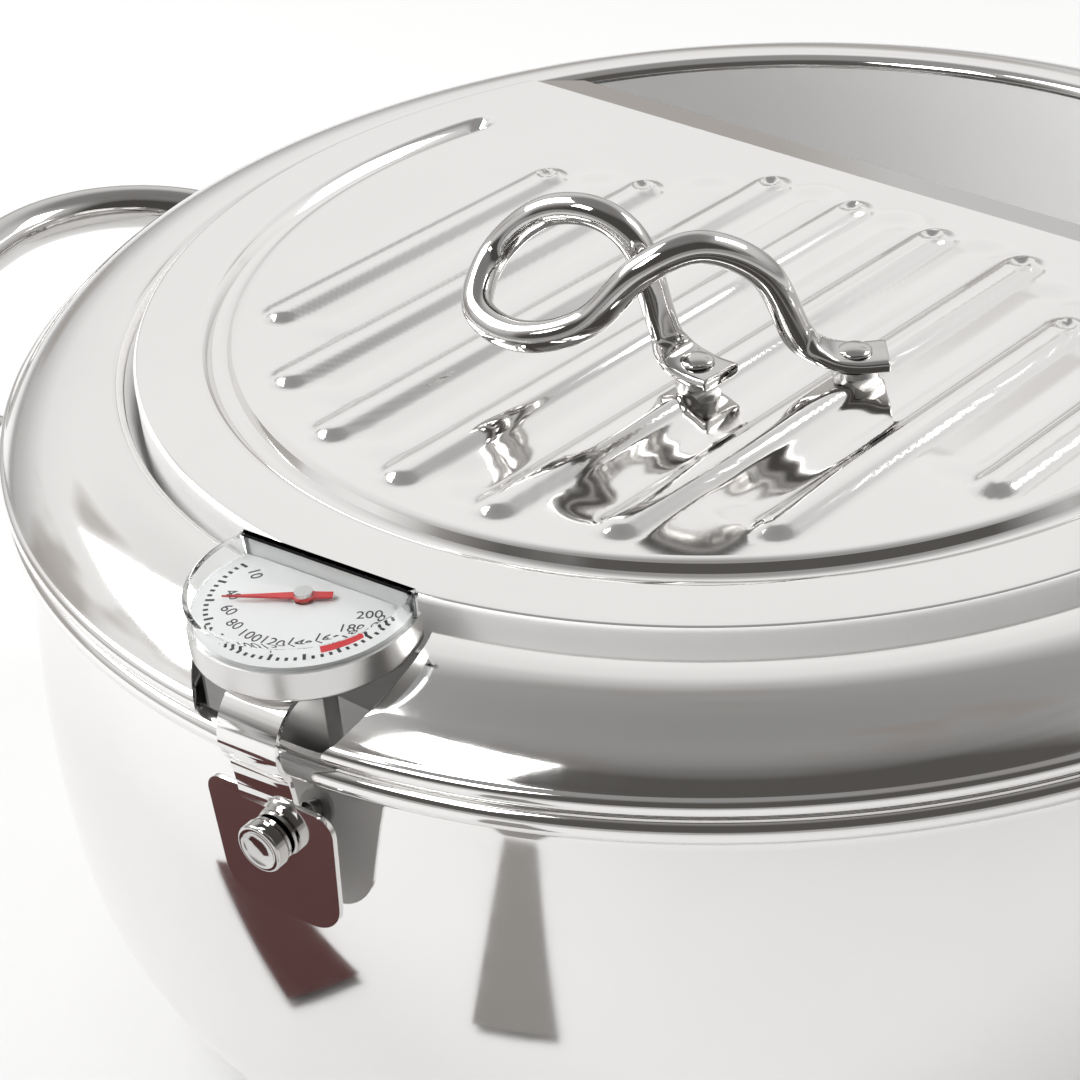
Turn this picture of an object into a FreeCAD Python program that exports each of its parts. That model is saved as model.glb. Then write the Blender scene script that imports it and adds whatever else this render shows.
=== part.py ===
import FreeCAD, Part
import math
import os
import re

import Sketcher
from FreeCAD import Placement, Rotation, Vector

# A 24 cm stovetop frying pot in spun stainless sheet: the pot with its bonded base and two
# tube handles, a domed splash ring that stands on the rim, a ribbed drain lid that drops
# into the ring, and a dial thermometer clamped over the rim.
# Millimetres, +Z up, origin at the centre of the base's underside, X through both handles.

SIZES = {
    # pot, outer surface of the sheet
    "pot_wall": 1.0, "pot_height": 104.0, "belly_radius": 125.0, "belly_height": 54.0,
    "belly_curve": 195.0, "corner_curve": 36.0, "neck_below_rim": 6.0,
    "bead_roll": 2.2, "bead_overhang": 2.6,
    # bonded base
    "base_thick": 5.0, "base_over": 9.53, "cap_wall": 0.8,
    # handles
    "handle_tube": 8.8, "handle_wall": 0.9, "handle_span": 90.0, "handle_reach": 45.0,
    "handle_bend": 34.0, "handle_drop": 17.0, "handle_rise": 10.0,
    "handle_root": 27.2, "foot_wide": 24.0, "foot_high": 15.0, "foot_thick": 1.5,
    "foot_band_low": 12.0, "foot_band_high": 9.0,
    # splash ring
    "ring_wall": 0.6, "seat_gap": 0.3, "ring_roll": 1.6, "ring_inset": 0.27,
    "dome_wide": 19.7, "crown_rise": 11.2, "dome_curve": 22.0, "crown_curve": 2.2,
    "crown_drop": 2.2, "funnel_depth": 23.0, "funnel_lean": 6.6,
    "collar_gap": 0.4, "collar_deep": 7.0, "notch_back": 2.0, "notch_crown_long": 14.0,
    "notch_crown_back": 6.0, "notch_crown_low": 5.0, "notch_crown_high": 30.0,
    "notch_narrow": 4.0, "slot_gap": 1.5,
    # drain lid
    "lid_wall": 0.6, "lid_gap": 0.38, "lid_stand": 13.6, "lid_skirt": 10.6, "lid_edge": 1.0,
    "groove_inset": 11.5, "groove_wide": 5.0, "groove_deep": 1.7, "groove_side": 1.0,
    "lip_start": 44.0, "lip_wide": 9.0, "lip_inset": 1.5, "lip_droop": 12.0,
    "lid_azimuth": 73.0, "rib_wide": 8.0, "rib_high": 1.1, "rib_share": 0.2368,
    "rib_shift": 1.0, "rib_inset": 8.0, "rib_root": 0.2,
    "handle_azimuth": 24.0, "rod_thick": 5.0, "pad_thick": 2.2, "pad_long": 12.0,
    "pad_wide": 8.0, "spacer_high": 1.1, "spacer_radius": 3.6, "rivet_radius": 1.6,
    "rivet_head": 2.7, "rivet_proud": 1.2, "rivet_edge": 0.84,
    # thermometer
    "dial_azimuth": 261.0, "case_radius": 16.5, "case_high": 9.0, "case_wall": 1.2,
    "case_flat": 6.1, "hub_inset": 11.57, "case_stand": 10.5, "cutout_gap": 0.8,
    "lens_thick": 1.6, "gasket_thick": 0.8, "gasket_wide": 1.2, "support_wide": 1.6,
    "dial_thick": 0.5, "dial_below_lens": 2.6,
    "fit_gap": 0.05, "strap_wall": 0.8, "strap_wide": 10.5, "strap_shift": 3.0,
    "arm_wide": 16.5, "arm_start": 0.4,
    "curl_radius": 7.1, "curl_out": 4.4, "curl_end": 1.0, "plate_bend": 5.0,
    "plate_top": 6.0, "plate_lap": 8.0,
    "plate_wide": 23.0, "plate_high": 21.0, "plate_corner": 6.0, "plate_stand": 2.2,
    "leg_deep": 30.0, "leg_wide": 10.0, "leg_gap": 0.5, "leg_flange": 4.0,
    "stem_radius": 2.5, "stem_wall": 0.4, "stem_long": 72.0, "nut_flats": 10.0, "nut_high": 3.2,
    "plug_head": 1.0, "plug_deep": 3.0, "arbor_radius": 0.6, "bush_radius": 1.4,
    "hub_cap_radius": 1.32, "hub_cap_high": 0.6, "pointer_hub": 1.54, "pointer_clear": 0.5,
    "pointer_belly": 0.78, "pointer_long": 11.5,
    "pointer_tail": 4.0, "pointer_wide": 1.3, "pointer_thick": 0.3, "pointer_rest": -60.0,
    "coil_stand": 3.3, "coil_radius": 1.4, "coil_pitch": 2.0, "coil_strip": 0.35,
    "coil_turns": 12.0, "screw_radius": 1.5, "screw_clear": 0.3, "screw_bush": 1.5,
    "screw_bush_long": 0.9,
    "knob_radius": 3.8, "knob_high": 3.0, "knob_edge": 0.9, "screw_drop": 13.0,
    "tip_gap": 0.4,
}

# heights and radii that follow from the driving sizes
RIM = "pot_height"
FLOOR = "base_thick"
NECK_Z = "(pot_height - neck_below_rim)"
BEAD_Z = "(pot_height - bead_roll)"
CORNER_SIN = "((belly_height - base_thick - corner_curve) / (belly_curve - corner_curve))"
BELLY_X = "(belly_radius - belly_curve)"
FLOOR_R = f"({BELLY_X} + (belly_curve - corner_curve) * sqrt(1 - {CORNER_SIN} ^ 2))"
BASE_R = f"({FLOOR_R} + base_over)"


def wall_radius(height, shift="0"):
    """Outer radius of the pot's side at a height, moved out by a shift along the normal."""
    return (f"({BELLY_X} + sqrt((belly_curve + {shift}) ^ 2"
            f" - ({height} - belly_height) ^ 2))")


NECK_R = wall_radius(NECK_Z)
BEAD_R = f"({NECK_R} + bead_overhang)"
RING_FOOT = "(pot_height + seat_gap)"
RING_EDGE = f"({BEAD_R} + bead_roll - ring_inset)"
RING_BEAD_R = f"({RING_EDGE} - ring_roll)"
RING_BEAD_Z = f"({RING_FOOT} + ring_roll)"
CROWN_R = f"({RING_EDGE} - dome_wide)"
CROWN_Z = "(pot_height + crown_rise)"
FUNNEL_R = f"({CROWN_R} - crown_drop)"
FUNNEL_Z = f"({CROWN_Z} - crown_drop)"
LID_Z = "(pot_height + lid_stand)"
SKIRT_Z = f"({LID_Z} - lid_skirt)"
LID_R = f"({FUNNEL_R} - funnel_lean * ({FUNNEL_Z} - {SKIRT_Z}) / funnel_depth - lid_gap)"
GROOVE_OUT = f"({LID_R} - groove_inset)"
GROOVE_IN = f"({GROOVE_OUT} - groove_wide)"
RIB_CIRCLE = f"({GROOVE_IN} - rib_inset)"
HUB_R = f"({BEAD_R} - hub_inset)"
CASE_Z = "(pot_height + case_stand)"
CASE_TOP = f"({CASE_Z} + case_high)"
LENS_Z = f"({CASE_TOP} - lens_thick)"
DIAL_Z = f"({LENS_Z} - dial_below_lens)"
CURL_X = f"({BEAD_R} + bead_roll - curl_radius + curl_out)"
PLATE_X = f"({BEAD_R} + bead_roll + plate_stand)"
SCREW_Z = "(pot_height - screw_drop)"
# how long and how far past a face the cutting tools run
TOOL_LONG, TOOL_OVER, TOOL_SPAN = "60", "1", "2"

doc = FreeCAD.newDocument("frying_pot")
sheet = doc.addObject("Spreadsheet::Sheet", "Sizes")
for row, (alias, size) in enumerate(SIZES.items(), start=1):
    sheet.set(f"A{row}", alias)
    sheet.set(f"B{row}", str(size))
    sheet.setAlias(f"B{row}", alias)
doc.recompute()

PARTS = []
WORD = re.compile(r"\b(" + "|".join(SIZES) + r")\b")


def sized(text):
    """An expression on the sheet's cells, from one written with their bare names."""
    return WORD.sub(r"Sizes.\1", str(text))


def number(text):
    """The present value of an expression."""
    return float(sheet.evalExpression(sized(text)))


def point(x, y, z):
    """A vector from three expressions."""
    return Vector(number(x), number(y), number(z))


def make(kind, name, at=None, **sizes):
    """A document object with its properties, and its place, bound to the sheet."""
    item = doc.addObject(kind, name)
    for key, text in sizes.items():
        item.setExpression(key, sized(text))
    for axis, text in zip("xyz", at or ()):
        item.setExpression(f"Placement.Base.{axis}", sized(text))
    return item


def cylinder(name, radius, height, at):
    """An upright cylinder."""
    return make("Part::Cylinder", name, at, Radius=radius, Height=height)


def level_cylinder(name, radius, length, at):
    """A cylinder along +X."""
    item = cylinder(name, radius, length, at)
    item.Placement.Rotation = Rotation(Vector(0, 1, 0), 90)
    return item


def box(name, length, width, height, at):
    """A box centred on Y at its place."""
    x, y, z = at
    corner = (x, f"{y} - ({width}) / 2", z)
    return make("Part::Box", name, corner, Length=length, Width=width, Height=height)


def cut(name, base, tool):
    """One solid less another."""
    item = doc.addObject("Part::Cut", name)
    item.Base, item.Tool = base, tool
    return item


def fuse(name, *shapes):
    """Several solids as one."""
    item = doc.addObject("Part::MultiFuse", name)
    item.Shapes = list(shapes)
    item.Refine = True
    return item


def common(name, *shapes):
    """What several solids share."""
    item = doc.addObject("Part::MultiCommon", name)
    item.Shapes = list(shapes)
    return item


def group(name, *shapes):
    """Separate solids that stay separate in one part."""
    item = doc.addObject("Part::Compound", name)
    item.Links = list(shapes)
    return item


def turned(item, azimuth):
    """Turns an item about the pot's axis by a cell of the sheet."""
    item.Placement.Rotation = Rotation(Vector(0, 0, 1), 1)
    item.setExpression("Placement.Rotation.Angle", sized(azimuth))
    return item


def finished(item, label):
    """Marks an item as one of the pot's parts."""
    item.Label = label
    PARTS.append(item)
    return item


def arc_between(start, end, radius, side):
    """The short arc from start to end, centred to their left (1) or right (-1).

    It always runs anticlockwise, as a sketch keeps its arcs.
    """
    middle = (start + end) * 0.5
    along = end - start
    across = Vector(-along.y, along.x, 0).normalize()
    reach = math.sqrt(radius ** 2 - along.Length ** 2 / 4)
    centre = middle + across * (reach * side)
    top = centre - across * (radius * side)
    return Part.Arc(start, top, end) if side > 0 else Part.Arc(end, top, start)


def outline(name, start, *steps, closed=False):
    """A sketch in the XZ plane: a chain of lines and arcs whose ends follow the sheet.

    A step is (x, z) for a line, or (x, z, radius, side) for an arc.
    """
    sketch = doc.addObject("Sketcher::SketchObject", name)
    sketch.Placement = Placement(Vector(0, 0, 0), Rotation(Vector(1, 0, 0), 90))
    corners = [start] + [step[:2] for step in steps]
    spots = [Vector(number(x), number(z), 0) for x, z in corners]
    for index, step in enumerate(steps):
        first, last = spots[index], spots[index + 1]
        if len(step) == 2:
            sketch.addGeometry(Part.LineSegment(first, last))
        else:
            sketch.addGeometry(arc_between(first, last, number(step[2]), step[3]))
    if closed:
        sketch.addGeometry(Part.LineSegment(spots[-1], spots[0]))
    ends = [end_points(sketch, index, spots[index]) for index in range(len(steps) + closed)]
    for index in range(len(ends) - 1):
        sketch.addConstraint(Sketcher.Constraint("Coincident", index, ends[index][1],
                                                 index + 1, ends[index + 1][0]))
    if closed:
        sketch.addConstraint(Sketcher.Constraint("Coincident", len(ends) - 1, ends[-1][1],
                                                 0, ends[0][0]))
    for index, (x, z) in enumerate(corners):
        edge, spot = (index, ends[index][0]) if index < len(ends) else (index - 1, ends[-1][1])
        pin(sketch, "DistanceX", edge, spot, x)
        pin(sketch, "DistanceY", edge, spot, z)
    for index, step in enumerate(steps):
        if len(step) == 4:
            rule = Sketcher.Constraint("Radius", index, number(step[2]))
            sketch.setExpression(f"Constraints[{sketch.addConstraint(rule)}]", sized(step[2]))
    return sketch


def end_points(sketch, index, spot):
    """Which ends of a sketch edge come first and last along the chain (1 start, 2 end)."""
    return (1, 2) if (sketch.Geometry[index].StartPoint - spot).Length < 1e-6 else (2, 1)


def pin(sketch, kind, edge, spot, text):
    """Holds one coordinate of an edge's end at an expression."""
    if abs(number(text)) < 1e-9:
        axis = -2 if kind == "DistanceX" else -1
        sketch.addConstraint(Sketcher.Constraint("PointOnObject", edge, spot, axis))
        return
    rule = sketch.addConstraint(Sketcher.Constraint(kind, -1, 1, edge, spot, number(text)))
    sketch.setExpression(f"Constraints[{rule}]", sized(text))


def spun(name, sketch, wall=None):
    """A profile turned about the pot's axis, thickened first when it is an open line."""
    source = sketch
    if wall is not None:
        source = thickened(f"{name}_sheet", sketch, wall)
    item = doc.addObject("Part::Revolution", name)
    item.Source = source
    item.Axis = Vector(0, 0, 1)
    item.Angle = 360
    item.Solid = True
    return item


def thickened(name, sketch, wall):
    """A closed face between an open profile and its offset to the left of its travel."""
    item = make("Part::Offset2D", name, Value=wall)
    item.Source = sketch
    item.Mode = "Skin"
    item.Fill = True
    return item


def drawn_out(name, face, width):
    """A profile in the XZ plane drawn out to a width centred on Y."""
    item = make("Part::Extrusion", name, LengthFwd=width)
    item.Base = face
    item.DirMode = "Custom"
    item.Dir = Vector(0, 1, 0)
    item.Symmetric = True
    item.Solid = True
    return item


def torus(name, ring, roll, height):
    """A round bead about the pot's axis."""
    return make("Part::Torus", name, ("0", "0", height), Radius1=ring, Radius2=roll)


# ---------------------------------------------------------------- pot and base

def side_band(name, start_z, end_z, thick):
    """A band that lies on the belly's curve between two heights."""
    profile = outline(f"{name}_profile", (wall_radius(start_z), start_z),
                      (wall_radius(end_z), end_z, "belly_curve", 1),
                      (wall_radius(end_z, thick), end_z),
                      (wall_radius(start_z, thick), start_z, f"belly_curve + {thick}", -1),
                      closed=True)
    return spun(name, profile)


def make_pot():
    """The spun pot with its rolled rim."""
    tangent = (f"{BELLY_X} + belly_curve * sqrt(1 - {CORNER_SIN} ^ 2)",
               f"belly_height - belly_curve * {CORNER_SIN}")
    profile = outline("pot_profile", ("0", FLOOR),
                      (FLOOR_R, FLOOR),
                      (*tangent, "corner_curve", 1),
                      (NECK_R, NECK_Z, "belly_curve", 1),
                      (f"{BEAD_R} - bead_roll / 2", BEAD_Z))
    shell = spun("pot_sheet", profile, "pot_wall")
    bead = torus("pot_bead", BEAD_R, "bead_roll", BEAD_Z)
    finished(fuse("pot", shell, bead), "pot_shell")


def make_base():
    """The aluminium core bonded under the floor, and the steel cap that covers it."""
    core = cylinder("core", f"{BASE_R} - cap_wall", f"{FLOOR} - cap_wall",
                    ("0", "0", "cap_wall"))
    finished(core, "base_core")
    outer = cylinder("cap_outer", BASE_R, FLOOR, ("0", "0", "0"))
    inner = cylinder("cap_inner", f"{BASE_R} - cap_wall", FLOOR, ("0", "0", "cap_wall"))
    finished(cut("cap", outer, inner), "base_cap")


def make_handle(side, azimuth):
    """One tube loop and the two feet that carry it on the pot's side."""
    middle_z = "(pot_height - handle_drop)"
    wall = wall_radius(middle_z)
    tip = number(f"{wall} + handle_reach")
    start = number("belly_radius - handle_root")
    half, bend = number("handle_span") / 2, number("handle_bend")
    path = [Vector(start, -half, 0), Vector(tip, -half, 0), Vector(tip, half, 0),
            Vector(start, half, 0)]
    spine = rounded_path(path, bend)
    rise = Rotation(Vector(0, 1, 0), -number("handle_rise"))
    hinge = point(wall, "0", middle_z)
    place = Placement(hinge, rise).multiply(Placement(Vector(-hinge.x, 0, 0), Rotation()))
    spine.Placement = place
    outer = swept(spine, number("handle_tube") / 2)
    bore = swept(spine, number("handle_tube / 2 - handle_wall"))
    low, high = "belly_height", f"({middle_z} + foot_high)"
    inside = spun(f"{side}_inside", outline(
        f"{side}_inside_profile", ("0", low), (wall_radius(low, "foot_thick"), low),
        (wall_radius(high, "foot_thick"), high, "belly_curve + foot_thick", 1),
        ("0", high), closed=True))
    doc.recompute()
    tube = doc.addObject("Part::Feature", f"{side}_tube")
    tube.Shape = outer.cut(bore).cut(inside.Shape)
    turn = Placement(Vector(0, 0, 0), Rotation(Vector(0, 0, 1), azimuth))
    tube.Placement = turn
    finished(tube, f"{side}_handle")
    band = side_band(f"{side}_band", f"({middle_z} - foot_band_low)",
                     f"({middle_z} + foot_band_high)", "foot_thick")
    feet = []
    for end, sign in (("front", -1), ("back", 1)):
        window = box(f"{side}_{end}_window", TOOL_LONG, "foot_wide", "foot_high",
                     (f"belly_radius - 3 * {TOOL_LONG} / 4", f"{sign} * handle_span / 2",
                      f"{middle_z} - foot_high / 2"))
        feet.append(common(f"{side}_{end}_foot", band, window))
    both = group(f"{side}_feet", *feet)
    both.Placement = turn
    finished(both, f"{side}_handle_feet")


def rounded_path(points, bend):
    """A wire through points with each inner corner rounded to a tangent arc."""
    edges = []
    last = points[0]
    for before, corner, after in zip(points, points[1:], points[2:]):
        into = (corner - before).normalize()
        out = (after - corner).normalize()
        radius = bend[len(edges) // 2] if isinstance(bend, list) else bend
        half_turn = into.getAngle(out) / 2
        reach = radius * math.tan(half_turn)
        first, second = corner - into * reach, corner + out * reach
        bisector = (out - into).normalize()
        centre = corner + bisector * (radius / math.cos(half_turn))
        top = centre - bisector * radius
        edges.append(Part.LineSegment(last, first).toShape())
        edges.append(Part.Arc(first, top, second).toShape())
        last = second
    edges.append(Part.LineSegment(last, points[-1]).toShape())
    return Part.Wire(edges)


def swept(spine, radius):
    """A round bar of one radius along a wire."""
    first = spine.OrderedEdges[0]
    start = first.valueAt(first.FirstParameter)
    heading = first.tangentAt(first.FirstParameter)
    ring = Part.Wire([Part.makeCircle(radius, start, heading)])
    return spine.makePipeShell([ring], True, False)


# ---------------------------------------------------------------- splash ring

def notch(name):
    """The room that the splash ring leaves for the thermometer and its strap."""
    low = f"({RIM} - {TOOL_LONG} / 3)"
    round_room = cylinder(f"{name}_round", "case_radius + cutout_gap", TOOL_LONG,
                          (HUB_R, "0", low))
    flat = f"{HUB_R} - case_flat - cutout_gap"
    inward = box(f"{name}_inward", TOOL_LONG, TOOL_LONG, f"{TOOL_LONG} + {TOOL_SPAN}",
                 (f"{flat} - notch_back - {TOOL_LONG}", "0", f"{low} - {TOOL_OVER}"))
    d_room = cut(f"{name}_d", round_room, inward)
    crown_room = box(f"{name}_crown", "notch_crown_long", "2 * case_radius - notch_narrow",
                     "notch_crown_high",
                     (f"{flat} - notch_crown_back", "0", f"{RIM} + notch_crown_low"))
    slot = box(f"{name}_slot", f"{TOOL_LONG} / 2", "strap_wide + 2 * slot_gap", TOOL_LONG,
               (HUB_R, "strap_shift", low))
    room = fuse(name, d_room, crown_room, slot)
    return turned(room, "dial_azimuth")


def make_ring():
    """The domed ring with its outer bead, crown and funnel, and the collar under it."""
    profile = outline("ring_profile",
                      (f"{RING_BEAD_R} + ring_roll / 8", f"{RING_BEAD_Z} + ring_roll / 2"),
                      (CROWN_R, CROWN_Z, "dome_curve", 1),
                      (FUNNEL_R, FUNNEL_Z, "crown_curve", 1),
                      (f"{FUNNEL_R} - funnel_lean", f"{FUNNEL_Z} - funnel_depth"))
    dome = spun("dome", profile, "ring_wall")
    bead = torus("ring_bead", RING_BEAD_R, "ring_roll", RING_BEAD_Z)
    finished(cut("ring", fuse("ring_whole", dome, bead), notch("ring_notch")), "splash_ring")


def make_collar():
    """The collar that keeps the ring centred in the pot's neck, welded inside the bead."""
    outer = f"({NECK_R} - pot_wall - collar_gap)"
    top = f"({RING_BEAD_Z} + ring_wall)"
    tube = ring_tube("collar_tube", outer, f"({RIM} - collar_deep)", top)
    flange = ring_tube("collar_flange", f"({RING_BEAD_R} - ring_roll)", RING_BEAD_Z, top,
                       f"{outer} - ring_wall")
    finished(cut("collar", fuse("collar_whole", tube, flange), notch("collar_notch")),
             "ring_collar")


def ring_tube(name, outer, low, high, inner=None):
    """A short tube about the pot's axis, one ring sheet thick unless an inner radius is given."""
    inner = inner or f"{outer} - ring_wall"
    whole = cylinder(f"{name}_whole", outer, f"{high} - {low}", ("0", "0", low))
    bore = cylinder(f"{name}_bore", inner, f"{high} - {low} + {TOOL_SPAN}",
                    ("0", "0", f"{low} - {TOOL_OVER}"))
    return cut(name, whole, bore)


# ---------------------------------------------------------------- drain lid

# how far each rib runs towards the lid's open side, from the right-hand rib to the left
RIB_FRONTS = (5.0, 17.0, 31.0, 31.0, 32.0, 32.0, 18.0, 12.0)


def make_lid():
    """The lid: a flat border, a pressed groove, raised ribs and a lip at its open side."""
    top = LID_Z
    low = f"({LID_Z} - groove_deep)"
    profile = outline("lid_profile", ("0", top), (GROOVE_IN, top),
                      (f"{GROOVE_IN} + groove_side", low), (f"{GROOVE_OUT} - groove_side", low),
                      (GROOVE_OUT, top), (f"{LID_R} - lid_edge", top),
                      (LID_R, f"{top} - lid_edge", "lid_edge", -1), (LID_R, SKIRT_Z))
    disc = spun("lid_disc", profile, "-lid_wall")
    tool_low = f"{LID_Z} - {TOOL_LONG} / 2"
    beyond = box("lid_beyond", LID_R, f"2 * {LID_R} + {TOOL_SPAN}", TOOL_LONG,
                 ("lip_start", "0", tool_low))
    plate = cut("lid_plate", disc, beyond)
    lip = box("lip_strip", "lip_wide", f"2 * {LID_R}", "lid_wall",
              ("lip_start - lid_wall", "0", f"{LID_Z} - lid_wall"))
    lip.Placement.Rotation = Rotation(Vector(0, 1, 0), 1)
    lip.setExpression("Placement.Rotation.Angle", sized("lip_droop"))
    rim = cylinder("lip_rim", f"{LID_R} - lip_inset", TOOL_LONG, ("0", "0", tool_low))
    ribs = []
    for row, front in zip(range(-4, 4), RIB_FRONTS):
        y = f"(rib_shift + {row} * rib_share * {RIB_CIRCLE})"
        back = f"sqrt({RIB_CIRCLE} ^ 2 - {y} ^ 2)"
        high, foot = "rib_high + rib_root", f"{LID_Z} - rib_root"
        body = box(f"rib_{row + 4}", f"{front} + {back}", "rib_wide", high,
                   (f"-{back}", y, foot))
        for end, x in (("front", front), ("back", f"-{back}")):
            ribs.append(cylinder(f"rib_{row + 4}_{end}", "rib_wide / 2", high, (x, y, foot)))
        ribs.append(body)
    whole = fuse("lid_whole", plate, common("lip", lip, rim), *ribs)
    finished(turned(whole, "lid_azimuth"), "drain_lid")


# the handle rod's path over the lid: x and y from the pot's axis, z above the lid's top
ROD_PATH = [(13.0, -34.0, 4.8), (9.0, -34.3, 6.0), (4.0, -36.5, 21.0), (-5.0, -39.5, 27.0),
            (-14.0, -41.0, 24.0), (-23.0, -40.5, 14.0), (-33.0, -38.0, 12.0),
            (-40.0, -30.0, 13.0), (-37.5, -21.5, 17.0), (-29.5, -22.5, 25.0),
            (-21.0, -26.0, 27.0), (-15.0, -28.5, 22.0), (-12.0, -30.0, 8.0),
            (-10.0, -31.8, 4.8)]
FEET = [((17.5, -33.8), 3.0), ((-6.6, -34.8), -42.0)]
BEND_SHARE = 0.45


def make_lid_handle():
    """The bent rod with flattened ends, its spacers and the rivets that hold it."""
    points = [Vector(x, y, z + number(LID_Z)) for x, y, z in ROD_PATH]
    radii = [bend_radius(*trio) for trio in zip(points, points[1:], points[2:])]
    rod = swept(rounded_path(points, radii), number("rod_thick") / 2)
    spacers, rivets = [], []
    under = number(f"{LID_Z} + rib_high + spacer_high")
    for (x, y), angle in FEET:
        pad = Part.makeBox(number("pad_long"), number("pad_wide"), number("pad_thick"),
                           Vector(-number("pad_long") / 2, -number("pad_wide") / 2, 0))
        hole = Part.makeCylinder(number("rivet_radius + fit_gap"), number("pad_long"),
                                 Vector(0, 0, -number("pad_thick")))
        seat = Placement(Vector(x, y, under), Rotation(Vector(0, 0, 1), angle))
        pad.Placement = seat
        hole.Placement = seat
        rod = rod.fuse(pad).cut(hole)
        spacers.append(ring_solid("spacer_radius", "rivet_radius + fit_gap",
                                  "spacer_high", x, y, f"{LID_Z} + rib_high"))
        rivets.append(rivet_solid(x, y))
    for label, shape in (("lid_handle", rod), ("lid_handle_spacers", Part.makeCompound(spacers)),
                         ("lid_handle_rivets", Part.makeCompound(rivets))):
        item = doc.addObject("Part::Feature", label)
        item.Shape = shape
        item.Placement = Placement(Vector(0, 0, 0), Rotation(Vector(0, 0, 1),
                                                             number("handle_azimuth")))
        finished(item, label)


def bend_radius(before, corner, after):
    """The largest tangent arc that fits at a corner of the rod's path."""
    run = min((corner - before).Length, (after - corner).Length)
    turn = (corner - before).getAngle(after - corner)
    return BEND_SHARE * run / math.tan(turn / 2)


def ring_solid(outer, inner, height, x, y, z):
    """A washer standing at a place on the lid."""
    place = Vector(x, y, number(z))
    whole = Part.makeCylinder(number(outer), number(height), place)
    return whole.cut(Part.makeCylinder(number(inner), number(height), place))


def rivet_solid(x, y):
    """A rivet with a low head, from under the lid to above the pad."""
    foot = number(f"{LID_Z} + rib_high")
    top = number(f"{LID_Z} + rib_high + spacer_high + pad_thick")
    shank = Part.makeCylinder(number("rivet_radius"), top - foot, Vector(x, y, foot))
    head = Part.makeCylinder(number("rivet_head"), number("rivet_proud"), Vector(x, y, top))
    head = head.makeFillet(number("rivet_edge"), [head.Edges[0]])
    return shank.fuse(head)


# ---------------------------------------------------------------- thermometer

def d_shape(name, inset, height, at_z):
    """A D-shaped block: round outwards, flat towards the pot's axis, inset all round."""
    disc = cylinder(f"{name}_disc", f"case_radius - ({inset})", height, (HUB_R, "0", at_z))
    flat = box(f"{name}_flat", TOOL_LONG, TOOL_LONG, f"{height} + {TOOL_SPAN}",
               (f"{HUB_R} - case_flat + ({inset}) - {TOOL_LONG}", "0",
                f"{at_z} - {TOOL_OVER}"))
    return cut(name, disc, flat)


def hub_hole(name, radius, height, at_z):
    """A tool for a round hole at the dial's hub."""
    return cylinder(name, radius, height, (HUB_R, "0", at_z))


def on_dial_side(item, label):
    """Turns a piece modelled along +X to the thermometer's side of the pot."""
    return finished(turned(group(f"{item.Name}_placed", item), "dial_azimuth"), label)


def make_case():
    """The cup, its clear lens, the gasket under it and the dial plate."""
    cup = cut("case_cup", d_shape("case_outer", "0", "case_high", CASE_Z),
              d_shape("case_inner", "case_wall", "case_high", f"{CASE_Z} + case_wall"))
    on_dial_side(cut("case", cup, hub_hole("case_hole", "stem_radius + fit_gap",
                                           f"case_wall + {TOOL_SPAN}",
                                           f"{CASE_Z} - {TOOL_OVER}")), "thermometer_case")
    on_dial_side(d_shape("lens", "case_wall + fit_gap", "lens_thick", LENS_Z), "case_lens")
    gasket = cut("gasket", d_shape("gasket_outer", "case_wall + fit_gap", "gasket_thick",
                                   f"{LENS_Z} - gasket_thick"),
                 d_shape("gasket_inner", "case_wall + gasket_wide",
                         f"gasket_thick + {TOOL_SPAN}",
                         f"{LENS_Z} - gasket_thick - {TOOL_OVER}"))
    on_dial_side(gasket, "lens_gasket")
    dial = cut("dial", d_shape("dial_blank", "case_wall + fit_gap", "dial_thick", DIAL_Z),
               hub_hole("dial_hole", "bush_radius + fit_gap", f"dial_thick + {TOOL_SPAN}",
                        f"{DIAL_Z} - {TOOL_OVER}"))
    on_dial_side(dial, "dial_plate")
    floor_top = f"({CASE_Z} + case_wall)"
    support = cut("support", d_shape("support_outer", "case_wall + fit_gap",
                                     f"{DIAL_Z} - {floor_top}", floor_top),
                  d_shape("support_inner", "case_wall + support_wide", "case_high",
                          f"{floor_top} - {TOOL_OVER}"))
    on_dial_side(support, "dial_support")


def make_movement():
    """The stem with its bimetal coil, and the arbor that carries the pointer."""
    stem_top = f"({CASE_Z} + case_wall)"
    stem_low = f"({stem_top} - stem_long)"
    tube = cut("stem_pipe", hub_hole("stem_outer", "stem_radius", "stem_long", stem_low),
               hub_hole("stem_bore", "stem_radius - stem_wall", f"stem_long + {TOOL_SPAN}",
                        f"{stem_low} - {TOOL_OVER}"))
    on_dial_side(tube, "stem_tube")
    plug = fuse("plug", hub_hole("plug_cap", "stem_radius", "plug_head",
                                 f"{stem_low} - plug_head"),
                hub_hole("plug_body", "stem_radius - stem_wall - fit_gap", "plug_deep",
                         stem_low))
    on_dial_side(plug, "stem_plug")
    bush = cut("bush", fuse("bush_whole",
                            hub_hole("bush_foot", "stem_radius - stem_wall - fit_gap",
                                     "plug_deep", f"{stem_top} - plug_deep"),
                            hub_hole("bush_neck", "bush_radius",
                                     f"{DIAL_Z} + dial_thick - {stem_top}", stem_top)),
               hub_hole("bush_bore", "arbor_radius + fit_gap", TOOL_LONG,
                        f"{stem_top} - plug_deep - {TOOL_OVER}"))
    on_dial_side(bush, "arbor_bush")
    coil_low = f"({stem_low} + coil_stand)"
    arbor_low = f"({coil_low} + coil_pitch * coil_turns)"
    pointer_z = f"({DIAL_Z} + dial_thick + pointer_clear)"
    arbor = hub_hole("arbor", "arbor_radius", f"{pointer_z} - {arbor_low}", arbor_low)
    on_dial_side(arbor, "pointer_arbor")
    make_coil(coil_low)
    make_pointer(pointer_z)


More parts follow.
